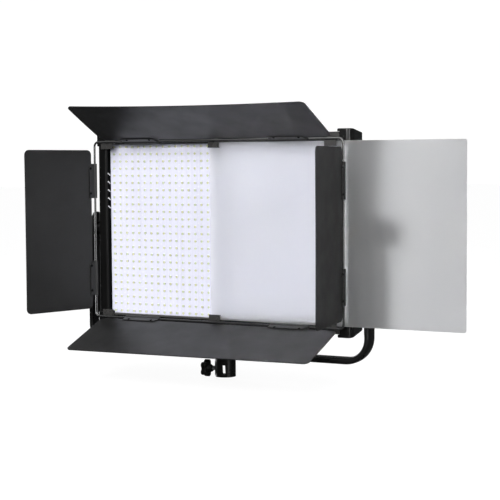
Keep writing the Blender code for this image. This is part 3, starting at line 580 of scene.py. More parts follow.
def make_receiver():
    """The stud receiver: a blind bore, a slot through both walls and a shallow ring near its rim."""
    low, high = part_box("receiver")
    radius = (high.x - low.x) / 2
    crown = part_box("yoke_tube")[0].z - 0.2 * MM
    body = rod(radius, crown - low.z, (0, 0, (crown + low.z) / 2), sides=72)
    bore_r, bore_depth = 8.1 * MM, 40 * MM
    bore = rod(bore_r, bore_depth, (0, 0, -bore_depth / 2))
    slot_w, slot_h, slot_top, slot_shift = 4 * MM, 11.5 * MM, -5 * MM, -1.7 * MM
    turn = Matrix.Rotation(math.radians(27.5), 4, "Z")
    slot = block((slot_w, 2 * THROUGH, slot_h), (slot_shift, 0, slot_top - slot_h / 2))
    slot.transform(turn)
    # At the back the slot runs on down through the rim
    split_h = 30 * MM
    split = block((slot_w, THROUGH, split_h), (slot_shift, THROUGH / 2, slot_top - split_h / 2))
    split.transform(turn)
    tapped = rod(SHAFT_HOLE_R, THROUGH, (-15 * MM, 0, middle("clamp_screw").z), SIDEWAYS, 32)
    groove_z, groove_h, groove_depth = low.z + 4.2 * MM, 0.9 * MM, 0.4 * MM
    groove_core = rod(radius - groove_depth, 2 * MM, (0, 0, groove_z))
    groove = cut(rod(radius + 1 * MM, groove_h, (0, 0, groove_z)), groove_core)
    body = eased(cut(body, bore, slot, split, tapped), 0.8 * MM, 4, 40)
    add("receiver_body", cut(body, groove), CASE_PAINT, "yoke", ["receiver"], sharp=50)
    spigot_r = 4 * MM
    spigot = rod(spigot_r, high.z - crown - 0.2 * MM, (0, 0, (high.z + crown) / 2))
    add("receiver_spigot", eased(spigot, 0.5 * MM), STEEL, "yoke")
    low, high, spot = span("receiver_nut")
    nut = rod((high.x - low.x) / 2, high.z - low.z, (0, 0, spot.z), sides=6)
    nut = eased(cut(nut, rod(spigot_r + 0.2 * MM, THROUGH, (0, 0, low.z))), 0.5 * MM)
    add("receiver_lock_nut", nut, STEEL, "yoke", ["receiver_nut"])


def lobed_outline(radius, lobes, lobe_radius, waist, steps=8):
    """A hand knob's outline: round lobes joined by the curved waists between them."""
    points = []
    for lobe in range(lobes):
        angle = 360 * lobe / lobes
        reach = radius - lobe_radius
        centre = (reach * math.cos(math.radians(angle)), reach * math.sin(math.radians(angle)))
        points += arc(centre, lobe_radius, angle - 75, angle + 75, steps)
        for turn, share in ((0.42, 1.03), (0.5, 1.0), (0.58, 1.03)):
            between = math.radians(angle + 360 * turn / lobes)
            points.append((share * waist * math.cos(between), share * waist * math.sin(between)))
    return points


def make_knob(name, node, body, side, lobes, lobe_radius, waist):
    """A moulded star knob on a side axis, with a black cap set in a recess in its outer face, and for the
    clamp knob a tapered neck.
    """
    low, high, spot = span(node)
    radius = (high.z - low.z) / 2
    inner_x, outer_x = (low.x, high.x) if side > 0 else (high.x, low.x)
    if node == "clamp_knob":
        # Its head takes up only the outer part; a neck fills the rest
        inner_x = outer_x + 8 * MM
    thick = abs(outer_x - inner_x)
    turn = Matrix.Rotation(math.radians(90 if lobes == 5 else 22.5), 4, "Z")
    outline = lobed_outline(radius, lobes, lobe_radius, waist)
    placing = stand((side, 0, 0), ((inner_x + outer_x) / 2, spot.y, spot.z)) @ turn
    grip = eased(extrusion(outline, thick, placing), 1.5 * MM, 4, 50)
    recess = rod(waist * 0.62, 2 * MM, (outer_x, spot.y, spot.z), SIDEWAYS)
    grip = eased(cut(grip, recess), 0.3 * MM, 2, 60)
    add(name, grip, GRIP_PLASTIC, body, [node])
    cap = eased(rod(waist * 0.45, 1.2 * MM, (outer_x - side * 0.8 * MM, spot.y, spot.z), SIDEWAYS), 0.4 * MM)
    add(f"{name}_cap", cap, BLACK_PLASTIC, body)
    if node == "clamp_knob":
        neck_root, neck_tip = 6.5 * MM, 4 * MM
        neck_spot = ((inner_x + high.x) / 2, spot.y, spot.z)
        neck = rod(neck_root, high.x - inner_x + 1 * MM, neck_spot, SIDEWAYS, 32, neck_tip)
        add(f"{name}_neck", eased(neck, 0.4 * MM), GRIP_PLASTIC, body)


def make_hand_controls():
    make_knob("clamp_star_knob", "clamp_knob", "stud_clamp", -1, 5, 4.2 * MM, 8.8 * MM)
    for side, word in SIDES:
        node = f"tilt_knob_{word}"
        make_knob(f"tilt_star_knob_{word}", node, node, side, 8, 4.6 * MM, 14.6 * MM)
    low, high, spot = span("clamp_screw")
    turns, root_r, crest_r = 14, 2.6 * MM, 3 * MM
    pitch = (high.x - low.x) / turns
    profile = [(0, 0)]
    for i in range(turns):
        profile += [(root_r, i * pitch), (crest_r, (i + 0.5) * pitch)]
    profile += [(root_r, turns * pitch), (0, turns * pitch)]
    screw = turned(profile, stand(SIDEWAYS, (low.x, spot.y, spot.z)), 24)
    add("clamp_thread", screw, STEEL, "stud_clamp", ["clamp_screw"])
    refinish(STEEL, "receiver_washer")
    refinish(STEEL, "tilt_washer_left", "tilt_washer_right", "tilt_screw_left", "tilt_screw_right")


# ---------------------------------------------------------------- housing


def rail_outline(width):
    """A channel section: across the rail from the window edge, and along its depth."""
    wall, outer, inner = 2 * MM, 1.5 * MM, 3 * MM
    points = [(0, SEAM_Y)]
    points += arc((inner, FRONT_Y + inner), inner, 180, 270, 6)
    points += arc((width - outer, FRONT_Y + outer), outer, 270, 360, 12)
    points += [(width, SEAM_Y), (width - wall, SEAM_Y)]
    points += [(width - wall, FRONT_Y + wall), (wall + inner, FRONT_Y + wall)]
    points += [(wall, FRONT_Y + wall + inner), (wall, SEAM_Y)]
    return points


def make_rail(word, towards):
    """One mitred rail of the bezel. towards is the outward side, in X and Z."""
    upright = towards[0] != 0
    width = HALF_W - WINDOW_W if upright else HALF_H - WINDOW_H
    half_length = WINDOW_H if upright else WINDOW_W
    other_width = HALF_H - WINDOW_H if upright else HALF_W - WINDOW_W
    mitre_gap = 0.05 * MM

    def build(bm):
        bm.from_mesh(extrusion(rail_outline(width), 2))
        for vert in bm.verts:
            across, depth, end = vert.co
            along = end * (half_length + across * other_width / width - mitre_gap)
            if upright:
                vert.co = (towards[0] * (WINDOW_W + across), depth, AXIS_Z + along)
            else:
                vert.co = (along, depth, AXIS_Z + towards[1] * (WINDOW_H + across))

    rail = mesh_from(build)
    if word == "left":
        rail = cut(rail, *side_vents(8 * MM, VENT_H))
    add(f"rail_{word}", eased(rail, 0.25 * MM, 2, 40), RAIL_PAINT, "head", [f"bezel_{word}"])


VENT_H = 1.8 * MM


def side_vents(deep, high):
    """Bars in the places of the five slanted vents in the window's left wall, so deep and so high."""
    count, top, pitch, length, slant = 5, 77 * MM, 11.5 * MM, 6.8 * MM, math.radians(-28)
    slits = []
    for i in range(count):
        centre = (-WINDOW_W - 0.5 * MM, (FRONT_Y + SEAM_Y) / 2 + 1 * MM, AXIS_Z + top - i * pitch)
        slit = block((deep, length, high))
        slit.transform(Matrix.Translation(centre) @ Matrix.Rotation(slant, 4, "X"))
        slits.append(slit)
    return slits


def make_window_lining():
    """A white strip on the right rail, painted light for the bright band that shows through the sheet there;
    dark liners inside the side rails; and white blades in the left wall's vents, painted light for the light
    that shows through them.
    """
    # A white strip on the right rail's face: painted light, standing for the bright band seen through the
    # sheet beside the right leaf's hinge
    strip_w, strip_thick, strip_inset = 6 * MM, 0.6 * MM, 1.8 * MM
    strip_spot = (HALF_W - strip_inset - strip_w / 2, FRONT_Y - strip_thick / 2, AXIS_Z)
    strip = block((strip_w, strip_thick, 2 * (WINDOW_H - 4 * MM)), strip_spot)
    add("painted_light_strip", eased(strip, 0.2 * MM, 2), LED_BODY, "head")
    # The liners start behind the rail's rounded front edge, and stand a hair inside its wall
    liner_thick, liner_shift, liner_start = 0.5 * MM, 0.27 * MM, FRONT_Y + 3.2 * MM
    liner_size = (liner_thick, SEAM_Y - liner_start, 2 * (WINDOW_H - 0.5 * MM))
    for side, word in SIDES:
        liner_spot = (side * (WINDOW_W - liner_shift), (SEAM_Y + liner_start) / 2, AXIS_Z)
        liner = block(liner_size, liner_spot)
        if word == "left":
            liner = cut(liner, *side_vents(4 * MM, VENT_H))
        add(f"window_liner_{word}", liner, LINER_BLACK, "head")
    # White blades in the vent slits: painted light for the light that shows through them
    painted_light_blades = joined(*side_vents(1.9 * MM, 1.4 * MM))
    add("vent_painted_light_blades", painted_light_blades, LED_BODY, "head")


def make_sheet_ledge():
    """The ledge the sheet slides along, standing forward from the lower rail."""
    half_height, clearance, set_off = 1.2 * MM, 0.2 * MM, 0.1 * MM
    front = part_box("diffuser_sheet")[1].y + clearance
    size = (2 * (WINDOW_W - 0.5 * MM), FRONT_Y - front - set_off, 2 * half_height)
    ledge = block(size, (0, (FRONT_Y + front - set_off) / 2, AXIS_Z - WINDOW_H))
    # The ledge's light grey is painted reflection of the sheet above it
    add("sheet_ledge", eased(ledge, 0.4 * MM, 3), LEDGE_PAINTED_SHEEN, "head")


def make_bezel():
    make_rail("top", (0, 1))
    make_rail("bottom", (0, -1))
    make_rail("right", (1, 0))
    make_rail("left", (-1, 0))
    make_window_lining()
    make_sheet_ledge()
    for side, word in SIDES:
        low, high, spot = span(f"brass_screw_{word}")
        root = low.x if side > 0 else high.x
        head = screw_head(2.5 * MM, high.x - low.x, stand((side, 0, 0), (root, spot.y, spot.z)))
        add(f"brass_head_{word}", head, BRASS, "head", [f"brass_screw_{word}"])


def make_guard(sx, sz, word):
    """A moulded cap over one corner: two outer walls the full depth, and a lip over the bezel's face."""
    node = f"corner_guard_{word}"
    low, high, middle_spot = span(node)
    thick, leg, round_edge = 3.7 * MM, 18.5 * MM, 6 * MM
    outer_x, outer_z = HALF_W + GAP + thick, HALF_H + GAP + thick
    centre = Vector((sx * (outer_x - leg / 2), middle_spot.y, AXIS_Z + sz * (outer_z - leg / 2)))

    def front_outer(edge):
        return all(v.co.y < centre.y and v.co.x * sx > abs(centre.x) for v in edge.verts)

    guard = rounded_where(block((leg, high.y - low.y, leg), centre), round_edge, 10, front_outer)
    guard = eased(drafted(guard), 1.4 * MM, 4, 30)
    reach, deep = 40 * MM, 80 * MM
    inner_z = AXIS_Z + sz * (HALF_H + GAP - reach / 2)
    inner = block((reach, deep, reach), (sx * (HALF_W + GAP - reach / 2), FRONT_Y - GAP + deep / 2, inner_z))
    # The lip over the bezel's face stops short of the sheet clips
    lip_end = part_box("sheet_clip_top_right")[1].x + 1 * MM
    lip = block((reach, THROUGH, reach), (sx * (lip_end - reach / 2), FRONT_Y, inner_z))
    # A moulding line runs round the cap where its two halves meet
    line_w, line_depth = 0.9 * MM, 0.6 * MM
    ring = block((2 * leg, line_w, 2 * leg), (centre.x, SEAM_Y, centre.z))
    core = block((leg - 2 * line_depth, 2 * MM, leg - 2 * line_depth), (centre.x, SEAM_Y, centre.z))
    guard = cut(guard, drafted(inner), lip, cut(ring, core))
    add(f"guard_{word}", eased(guard, 0.25 * MM, 2, 50), BLACK_PLASTIC, "head", [node])


def make_rear_shell():
    wall, low_y = 2 * MM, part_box("rear_shell")[0].y
    depth = BACK_Y - low_y
    middle_y = BACK_Y - depth / 2

    def behind(edge):
        """Edges round the back and those that run forward from it, so all but the open front's."""
        return any(v.co.y > middle_y for v in edge.verts)

    shell = block((2 * HALF_W, depth, 2 * HALF_H), (0, middle_y, AXIS_Z))
    shell = drafted(rounded_where(shell, 4 * MM, 6, behind))
    hollow = 60 * MM
    inside_spot = (0, BACK_Y - wall - hollow / 2, AXIS_Z)
    inside = block((2 * (HALF_W - wall), hollow, 2 * (HALF_H - wall)), inside_spot)
    tilt_holes = rod(BOLT_HOLE_R, 500 * MM, (0, 0, AXIS_Z), SIDEWAYS, 32)
    low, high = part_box("control_panel")
    edge = 5 * MM
    opening_size = (high.x - low.x - 2 * edge, THROUGH, high.z - low.z - 2 * edge)
    opening = block(opening_size, (0, BACK_Y, PANEL_Z))
    shell = cut(shell, drafted(inside), tilt_holes, rear_vents(), opening)
    add("rear_cover", eased(shell, 0.3 * MM, 2, 50), CASE_PAINT, "head", ["rear_shell"])
    out, up, head_r, head_high = HALF_W - 26 * MM, HALF_H - 11 * MM, 3.2 * MM, 1.4 * MM
    heads = []
    for column in (-1, 0, 1):
        for sz, _ in ROWS:
            seat = stand(BACK, (column * out, BACK_Y, AXIS_Z + sz * up))
            heads.append(screw_head(head_r, head_high, seat))
    add("rear_cover_screws", joined(*heads), DARK_STEEL, "head")
    for side, word in SIDES:
        make_boss(side, word)


def rear_vents():
    """The three columns of round-ended slots through the housing's back."""
    rows, columns, row_pitch, column_pitch = 9, 3, 12 * MM, 104 * MM
    top_row = AXIS_Z + 108 * MM
    outline = rounded_rectangle(86 * MM, 3.2 * MM, 1.55 * MM, 6)
    slots = []
    for row in range(rows):
        for column in range(columns):
            spot = ((column - 1) * column_pitch, BACK_Y, top_row - row * row_pitch)
            slots.append(extrusion(outline, 10 * MM, stand(BACK, spot)))
    return joined(*slots)


def make_boss(side, word):
    """The spacer between the housing and the yoke's eye, with a wider collar part way along."""
    node = f"pivot_boss_{word}"
    low, high, spot = span(node)
    radius = (high.z - low.z) / 2
    root, tip = (low.x, high.x) if side > 0 else (high.x, low.x)
    start = root + side * 2 * MM
    run, outward = tip - start, (side, 0, 0)
    boss = rod(radius, abs(run), ((start + tip) / 2, 0, AXIS_Z), outward, 64)
    collar_r, collar_place, collar_share = radius + 1 * MM, 0.35, 0.4
    collar_spot = (start + run * collar_place, 0, AXIS_Z)
    collar = rod(collar_r, abs(run) * collar_share, collar_spot, outward, 64)
    bore = rod(BOLT_HOLE_R, 3 * THROUGH, (spot.x, 0, AXIS_Z), SIDEWAYS)
    boss = cut(cut(boss, collar, operation="UNION"), bore)
    add(f"boss_{word}", eased(boss, 0.5 * MM, 3, 50), BLACK_PLASTIC, "head", [node])


# ---------------------------------------------------------------- light board


def make_led_board():
    """White board with rows of surface-mount LEDs: body, phosphor face and two solder fillets each."""
    refinish(WHITE_BOARD, "led_board")
    refinish(ALUMINIUM, "heat_plate", "board_spacer_left", "board_spacer_right")
    refinish(GREEN_BOARD, "driver_board")
    face_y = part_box("led_board")[0].y
    pitch, columns, rows = 10 * MM, 35, 24
    body_w, body_h, body_up, top_share = 2.8 * MM, 3.8 * MM, 0.8 * MM, 0.92
    gel_w, gel_h, gel_up, gel_sides = 2.6 * MM, 3.5 * MM, 0.25 * MM, 12
    cool, warm, places = [], [], []
    for column in range(columns):
        for row in range(rows):
            place = ((column - (columns - 1) / 2) * pitch, AXIS_Z + (row - (rows - 1) / 2) * pitch)
            (warm if (column + row) % 2 else cool).append(place)
            places.append(place)

    def ring(bm, x, z, wide, tall, y):
        return [bm.verts.new((x + a * wide / 2, y, z + b * tall / 2)) for a, b in CORNERS]

    def bodies(bm):
        for x, z in places:
            base = ring(bm, x, z, body_w, body_h, face_y - 0.02 * MM)
            top = ring(bm, x, z, body_w * top_share, body_h * top_share, face_y - body_up)
            skin(bm, base, top)

    def gels(spots):
        """Low domes: a fan from each rim to its crown."""
        rim_y = face_y - body_up - 0.01 * MM
        oval = arc((0, 0), 1, 0, 360 - 360 / gel_sides, gel_sides - 1)

        def build(bm):
            for x, z in spots:
                rim = [bm.verts.new((x + c * gel_w / 2, rim_y, z + s * gel_h / 2)) for c, s in oval]
                crown = bm.verts.new((x, face_y - body_up - gel_up, z))
                for i in range(gel_sides):
                    bm.faces.new((rim[i], rim[(i + 1) % gel_sides], crown))
                bm.faces.new(list(reversed(rim)))

        return build

    add("led_bodies", mesh_from(bodies), LED_BODY, "head")
    add("led_faces_cool", mesh_from(gels(cool)), COOL_PHOSPHOR, "head", sharp=60)
    add("led_faces_warm", mesh_from(gels(warm)), WARM_PHOSPHOR, "head", sharp=60)
    pad_size = (0.7 * MM, 0.3 * MM, 2 * MM)
    pad_x, pad_y = body_w / 2 + 0.3 * MM, face_y - 0.12 * MM
    pads = [(x + side * pad_x, pad_y, z) for x, z in places for side, _ in SIDES]
    add("led_solder", blocks(pad_size, pads), STEEL, "head")
    # Chip resistors stand between every third pair of columns
    chip_size, chip_y = (0.9 * MM, 0.45 * MM, 1.6 * MM), face_y - 0.22 * MM
    chips = [
        ((column - (columns - 2) / 2) * pitch, chip_y, AXIS_Z + (row - (rows - 2) / 2) * pitch)
        for column in range(1, columns - 1, 3)
        for row in range(rows - 1)
    ]
    add("led_resistors", blocks(chip_size, chips), LED_BODY, "head")


def make_driver_parts():
    """Capacitors and chips on the driver board, seen through the rear vents."""
    low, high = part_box("driver_board")
    chip_size = (9 * MM, 1.6 * MM, 7 * MM)
    cans, chips = [], []
    for i in range(5):
        # They stand 28 mm apart, every other one set in from the board's edge
        x, odd = low.x + (16 + 28 * i) * MM, i % 2
        height = (6 + 1.5 * (i % 3)) * MM
        can_spot = (x, high.y + height / 2, high.z - (16 + 12 * odd) * MM)
        cans.append(eased(rod(4 * MM, height, can_spot, BACK, 24), 0.6 * MM))
        chips.append(block(chip_size, (x + 6 * MM, high.y + 0.9 * MM, low.z + (18 + 10 * odd) * MM)))
    add("driver_capacitors", joined(*cans), ALUMINIUM, "head")
    add("driver_chips", eased(joined(*chips), 0.2 * MM, 2), BLACK_PLASTIC, "head")


# ---------------------------------------------------------------- sheet and clips


# How much taller the sheet is drawn at its top and its bottom, and how much wider in all
SHEET_SPARE = 1 * MM


def make_sheet():
    low, high, centre = span("diffuser_sheet")
    outline = rounded_rectangle(high.x - low.x + SHEET_SPARE, high.z - low.z + 2 * SHEET_SPARE, 3 * MM)
    sheet = extrusion(outline, high.y - low.y, stand(BACK, centre))
    add("frosted_sheet", eased(sheet, 0.25 * MM, 2), FROSTED, "diffuser", ["diffuser_sheet"])


def clip_outline():
    """The clip's section in depth and height: foot, web, wire stop, front flap with its lip, and rear rib."""
    low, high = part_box("sheet_clip_top_middle")
    sheet_low, sheet_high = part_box("diffuser_sheet")
    foot_back, foot_front, foot_high = high.y, high.y - 1.4 * MM, high.z - AXIS_Z
    flap_front, flap_back, flap_low = low.y, low.y + 1.2 * MM, low.z - AXIS_Z
    lip_back, lip_high = sheet_low.y - GAP, flap_low + 1.2 * MM
    web_low = sheet_high.z - AXIS_Z + SHEET_SPARE + GAP
    web_high = web_low + 0.7 * MM
    stop_front = middle("wire_frame").y + WIRE_D / 2 + GAP
    stop_back, stop_high = stop_front + 1.3 * MM, web_high + 3.2 * MM
    rib_front, rib_low = sheet_high.y + GAP, flap_low + 1.4 * MM
    rib_back = rib_front + 1 * MM
    foot = [(foot_back, foot_high), (foot_front, foot_high), (foot_front, web_high)]
    stop = [(stop_back, web_high), (stop_back, stop_high), (stop_front, stop_high), (stop_front, web_high)]
    flap = [(flap_front, web_high), (flap_front, flap_low)]
    lip = [(lip_back, flap_low), (lip_back, lip_high), (flap_back, lip_high), (flap_back, web_low)]
    rib = [(rib_front, web_low), (rib_front, rib_low), (rib_back, rib_low), (rib_back, web_low)]
    return [*foot, *stop, *flap, *lip, *rib, (foot_back, web_low)]


def make_clips():
    outline = clip_outline()
    for sz, row in ROWS:
        for column in ("left", "middle", "right"):
            node = f"sheet_clip_{row}_{column}"
            low, high, spot = span(node)

            def build(bm):
                bm.from_mesh(extrusion(outline, high.x - low.x))
                for vert in bm.verts:
                    depth, height, along = vert.co
                    vert.co = (spot.x + along, depth, AXIS_Z + sz * height)

            clip = eased(mesh_from(build), 0.35 * MM, 2, 40)
            clip = reshaped(clip, "TRIANGULATE", min_vertices=5)
            add(f"clip_{row}_{column}", clip, CLIP_PAINT_WITH_HIGHLIGHT, "head", [node])


# ---------------------------------------------------------------- barn doors


def make_wire_ring():
    low, high, centre = span("wire_frame")
    curve = bpy.data.curves.new("wire_ring", "CURVE")
    curve.dimensions = "3D"
    curve.bevel_depth = WIRE_D / 2
    curve.bevel_resolution = 6
    wide, tall = high.x - low.x - WIRE_D, high.z - low.z - WIRE_D
    outline = rounded_rectangle(wide, tall, 6 * MM, 10)
    closed_spline(curve, [(centre.x + x, centre.y, centre.z + z) for x, z in outline])
    curve.materials.append(WIRE_PAINT)
    show("wire_ring", curve, "head", ["wire_frame"])


def hinge_frame(word, along):
    """The placing of a leaf: local X along its hinge wire, Y out along the leaf, Z its normal."""
    low, high, wire = span("wire_frame")
    inset = WIRE_D / 2
    hinge = {
        "top": (0, wire.y, high.z - inset),
        "bottom": (0, wire.y, low.z + inset),
        "left": (low.x + inset, wire.y, AXIS_Z),
        "right": (high.x - inset, wire.y, AXIS_Z),
    }[word]
    x_axis = Vector(along)
    points = [v.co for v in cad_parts[f"leaf_{word}"].data.vertices]
    mean = sum(points, Vector()) / len(points) - Vector(hinge)
    y_axis = (mean - mean.dot(x_axis) * x_axis).normalized()
    turn = Matrix((x_axis, y_axis, x_axis.cross(y_axis))).transposed().to_4x4()
    return Matrix.Translation(hinge) @ turn


def local_box(node, placing):
    """Lowest and highest corner of a CAD node in a local frame."""
    back = placing.inverted()
    points = [back @ v.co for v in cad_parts[node].data.vertices]
    return [Vector(pick(p[i] for p in points) for i in range(3)) for pick in (min, max)]


def leaf_sheet(low, high, corner, bend):
    """Sheet metal with rounded corners, on a grid so that bend(x, y) can lift it by a little."""
    half_w, middle_x = (high.x - low.x) / 2, (high.x + low.x) / 2
    corner_steps, field_steps, rows = 8, 24, 12
    turns = [math.radians(90 * i / corner_steps) for i in range(corner_steps + 1)]
    edge_xs = [half_w - corner * (1 - math.sin(turn)) for turn in turns]
    field = [(half_w - corner) * (2 * i / field_steps - 1) for i in range(1, field_steps)]
    xs = sorted([-x for x in edge_xs] + field + edge_xs)

    def build(bm):
        columns = []
        for x in xs:
            into = max(0, abs(x) - (half_w - corner))
            inset = corner - math.sqrt(max(0, corner * corner - into * into))
            start, end = low.y + inset, high.y - inset
            column = []
            for row in range(rows + 1):
                y = start + (end - start) * row / rows
                column.append(bm.verts.new((middle_x + x, y, bend(x / half_w, y / high.y))))
            columns.append(column)
        for left, right in zip(columns, columns[1:]):
            for i in range(rows):
                bm.faces.new((left[i], right[i], right[i + 1], left[i + 1]))

    return reshaped(mesh_from(build), "SOLIDIFY", thickness=LEAF_THICK, offset=0)


# The inner and outer faces of a hinge bracket's flanges, from the leaf's middle plane
FLANGE_IN = LEAF_THICK / 2 + GAP
FLANGE_OUT = FLANGE_IN + 1 * MM


def bracket_shape(length, chamfer_end, start, tip):
    """A hinge bracket: a barrel round the wire and two flanges that hold the leaf's edge between them."""
    barrel, chamfer_slope = 3 * MM, 1.2
    inner, outer = FLANGE_IN, FLANGE_OUT
    root = start - GAP
    meet = math.degrees(math.asin(outer / barrel))
    outline = [(outer, tip), (inner, tip), (inner, root), (-inner, root), (-inner, tip), (-outer, tip)]
    outline += [(-y, x) for x, y in arc((0, 0), barrel, meet, 360 - meet, 28)]
    hole = arc((0, 0), WIRE_D / 2 + GAP, 0, 345, 23)

    def build(bm):
        bm.from_mesh(extrusion(outline, length, None, [hole]))
        for vert in bm.verts:
            normal, reach, along = vert.co
            if along * chamfer_end > 0:
                along -= chamfer_end * max(0, reach - root) * chamfer_slope
            vert.co = (along, reach, normal)

    return eased(mesh_from(build), 0.25 * MM, 2, 40)


def rivet_head(placing):
    """A low domed rivet head standing along +Z."""
    radius, height, buried = 1.7 * MM, 0.6 * MM, 0.2 * MM
    dome = arc((radius - height, 0), height, 0, 80, 4)
    rivet = turned([(0, -buried), (radius, -buried), *dome, (0, height)], steps=16)
    rivet.transform(placing)
    return rivet


# How far each leaf's free edge is sprung off flat: evenly, more at one end, and more at both ends
LEAF_SPRING = {
    "top": (-1.5 * MM, -1.7 * MM, 2.6 * MM),
    "bottom": (0.2 * MM, 1.6 * MM, 0),
    "left": (0, 0, 0.5 * MM),
    "right": (0, 0, 0.4 * MM),
}


def make_leaf(word, along, chamfer_end):
    placing = hinge_frame(word, along)
    low, high = local_box(f"leaf_{word}", placing)
    even, end_on, bowed = LEAF_SPRING[word]

    def bend(x, y):
        outward = x * sum(along)
        return -y * y * sum(along) * (even + end_on * outward + bowed * x * x)

    sheet = leaf_sheet(low, high, 7 * MM, bend)
    sheet.transform(placing)
    sheet = eased(sheet, 0.3 * MM, 2, 60)
    leaf_body = f"{word}_leaf"
    add(f"leaf_sheet_{word}", sheet, LEAF_PAINT, leaf_body, [f"leaf_{word}"])
    rivets = []
    long = word in ("top", "bottom")
    # Top and bottom brackets take the lighter copy of the leaf paint, painted light for their lit plates;
    # side brackets take the leaf paint itself
    bracket_paint_or_lit_copy, rivet_share = (LIT_BRACKET_PAINT, 0.324) if long else (LEAF_PAINT, 0.36)
    for i in (1, 2):
        node = f"hinge_bracket_{word}_{i}"
        bracket_low, bracket_high = local_box(node, placing)
        shift = (bracket_low.x + bracket_high.x) / 2
        length = bracket_high.x - bracket_low.x
        bracket = bracket_shape(length, chamfer_end, low.y, bracket_high.y)
        bracket.transform(placing @ Matrix.Translation((shift, 0, 0)))
        add(f"bracket_{word}_{i}", bracket, bracket_paint_or_lit_copy, leaf_body, [node])
        for end, face in CORNERS:
            x, y = shift + end * rivet_share * length, (low.y + bracket_high.y) / 2
            seat = stand((0, 0, face), (x, y, face * (FLANGE_OUT - 0.05 * MM)))
            rivets.append(rivet_head(placing @ seat))
    add(f"rivets_{word}", joined(*rivets), LINER_BLACK, leaf_body)


def make_barn_doors():
    make_wire_ring()
    make_leaf("top", SIDEWAYS, 1)
    make_leaf("bottom", (-1, 0, 0), -1)
    make_leaf("left", (0, 0, 1), 1)
    make_leaf("right", (0, 0, -1), -1)


# ---------------------------------------------------------------- controls


def through(node, spare):
    """A cutting block right through the panel, larger than a node's outline by this much in all."""
    low, high, spot = span(node)
    return block((high.x - low.x + spare, THROUGH, high.z - low.z + spare), spot)


def make_control_panel():
    low, high, centre = span("control_panel")
    wide, tall = high.x - low.x, high.z - low.z
    panel = extrusion(rounded_rectangle(wide, tall, 4 * MM), high.y - low.y, stand(BACK, centre))
    holes = []
    for word in ("brightness", "colour"):
        shaft = middle(f"{word}_dial_shaft")
        holes.append(rod(SHAFT_HOLE_R, THROUGH, (shaft.x, high.y, shaft.z), BACK, 32))
    holes += [through("display_window", 2 * GAP), through("switch_frame", -3 * MM)]
    socket, socket_hole_r = middle("dc_socket"), 5.8 * MM
    holes.append(rod(socket_hole_r, THROUGH, (socket.x, high.y, socket.z), BACK))
    panel = eased(cut(panel, *holes), 0.4 * MM, 2, 50)
    add("panel_plate", panel, BLACK_PLASTIC, "head", ["control_panel"])
    glass_low, glass_high, glass = span("display_window")
    display = eased(block(glass_high - glass_low, glass), 0.5 * MM, 3)
    add("display_glass", display, GLOSS_PLASTIC, "head", ["display_window"])
    inset, head_r, head_high = 5 * MM, 2 * MM, 0.9 * MM
    heads = []
    for sx, sz in CORNERS:
        spot = (centre.x + sx * (high.x - inset), high.y, centre.z + sz * (tall / 2 - inset))
        heads.append(screw_head(head_r, head_high, stand(BACK, spot)))
    add("panel_screws", joined(*heads), DARK_STEEL, "head")


def rippled_outline(radius, grips, depth, steps=6):
    """A circle with this many shallow grips round it, each this deep."""
    points = []
    for i in range(grips * steps):
        reach = radius - depth / 2 * (1 + math.cos(2 * math.pi * i / steps))
        angle = 2 * math.pi * i / (grips * steps)
        points.append((reach * math.cos(angle), reach * math.sin(angle)))
    return points


def make_dials():
    """Two rippled dials, each with a dished face and a pointer line, over a scale of plain ticks."""
    line_w, line_thick = 0.9 * MM, 0.3 * MM
    tick_w, tick_thick, long_tick, short_tick = 0.5 * MM, 0.2 * MM, 2.2 * MM, 1.4 * MM
    ticks_in_all, first_turn, turn_step = 11, -135, 27
    for word in ("brightness", "colour"):
        low, high, spot = span(f"{word}_dial")
        radius, depth = (high.z - low.z) / 2, high.y - low.y
        outline = rippled_outline(radius, 18, 0.7 * MM)
        dial = extrusion(outline, depth, stand(BACK, spot))
        dial = eased(dial, 0.9 * MM, 4, 60)
        bore = rod(SHAFT_HOLE_R, 16 * MM, (spot.x, low.y, spot.z), BACK, 32)
        dish = rod(radius * 0.72, 1.2 * MM, (spot.x, high.y, spot.z), BACK, 48)
        dial = cut(dial, bore, dish)
        body = f"{word}_control"
        add(f"{word}_grip", dial, GRIP_PLASTIC, body, [f"{word}_dial"])
        line_spot = (spot.x, high.y - 0.5 * MM, spot.z + radius * 0.38)
        line = block((line_w, line_thick, radius * 0.55), line_spot)
        add(f"{word}_pointer", eased(line, 0.1 * MM, 2), MARK_PAINT, body)
        refinish(STEEL, f"{word}_dial_shaft")
        ticks = []
        for i in range(ticks_in_all):
            length = short_tick if i % 5 else long_tick
            tick = block((tick_w, tick_thick, length), (0, 0, radius + 2.4 * MM))
            turn = Matrix.Rotation(math.radians(first_turn + turn_step * i), 4, "Y")
            tick.transform(Matrix.Translation((spot.x, PANEL_FACE + 0.05 * MM, spot.z)) @ turn)
            ticks.append(tick)
        add(f"{word}_ticks", joined(*ticks), MARK_PAINT, "head")


def turned_at(profile, spot, steps=48):
    """A profile in millimetres spun about the line that runs back through a spot."""
    return turned([(r * MM, z * MM) for r, z in profile], stand(BACK, spot), steps)


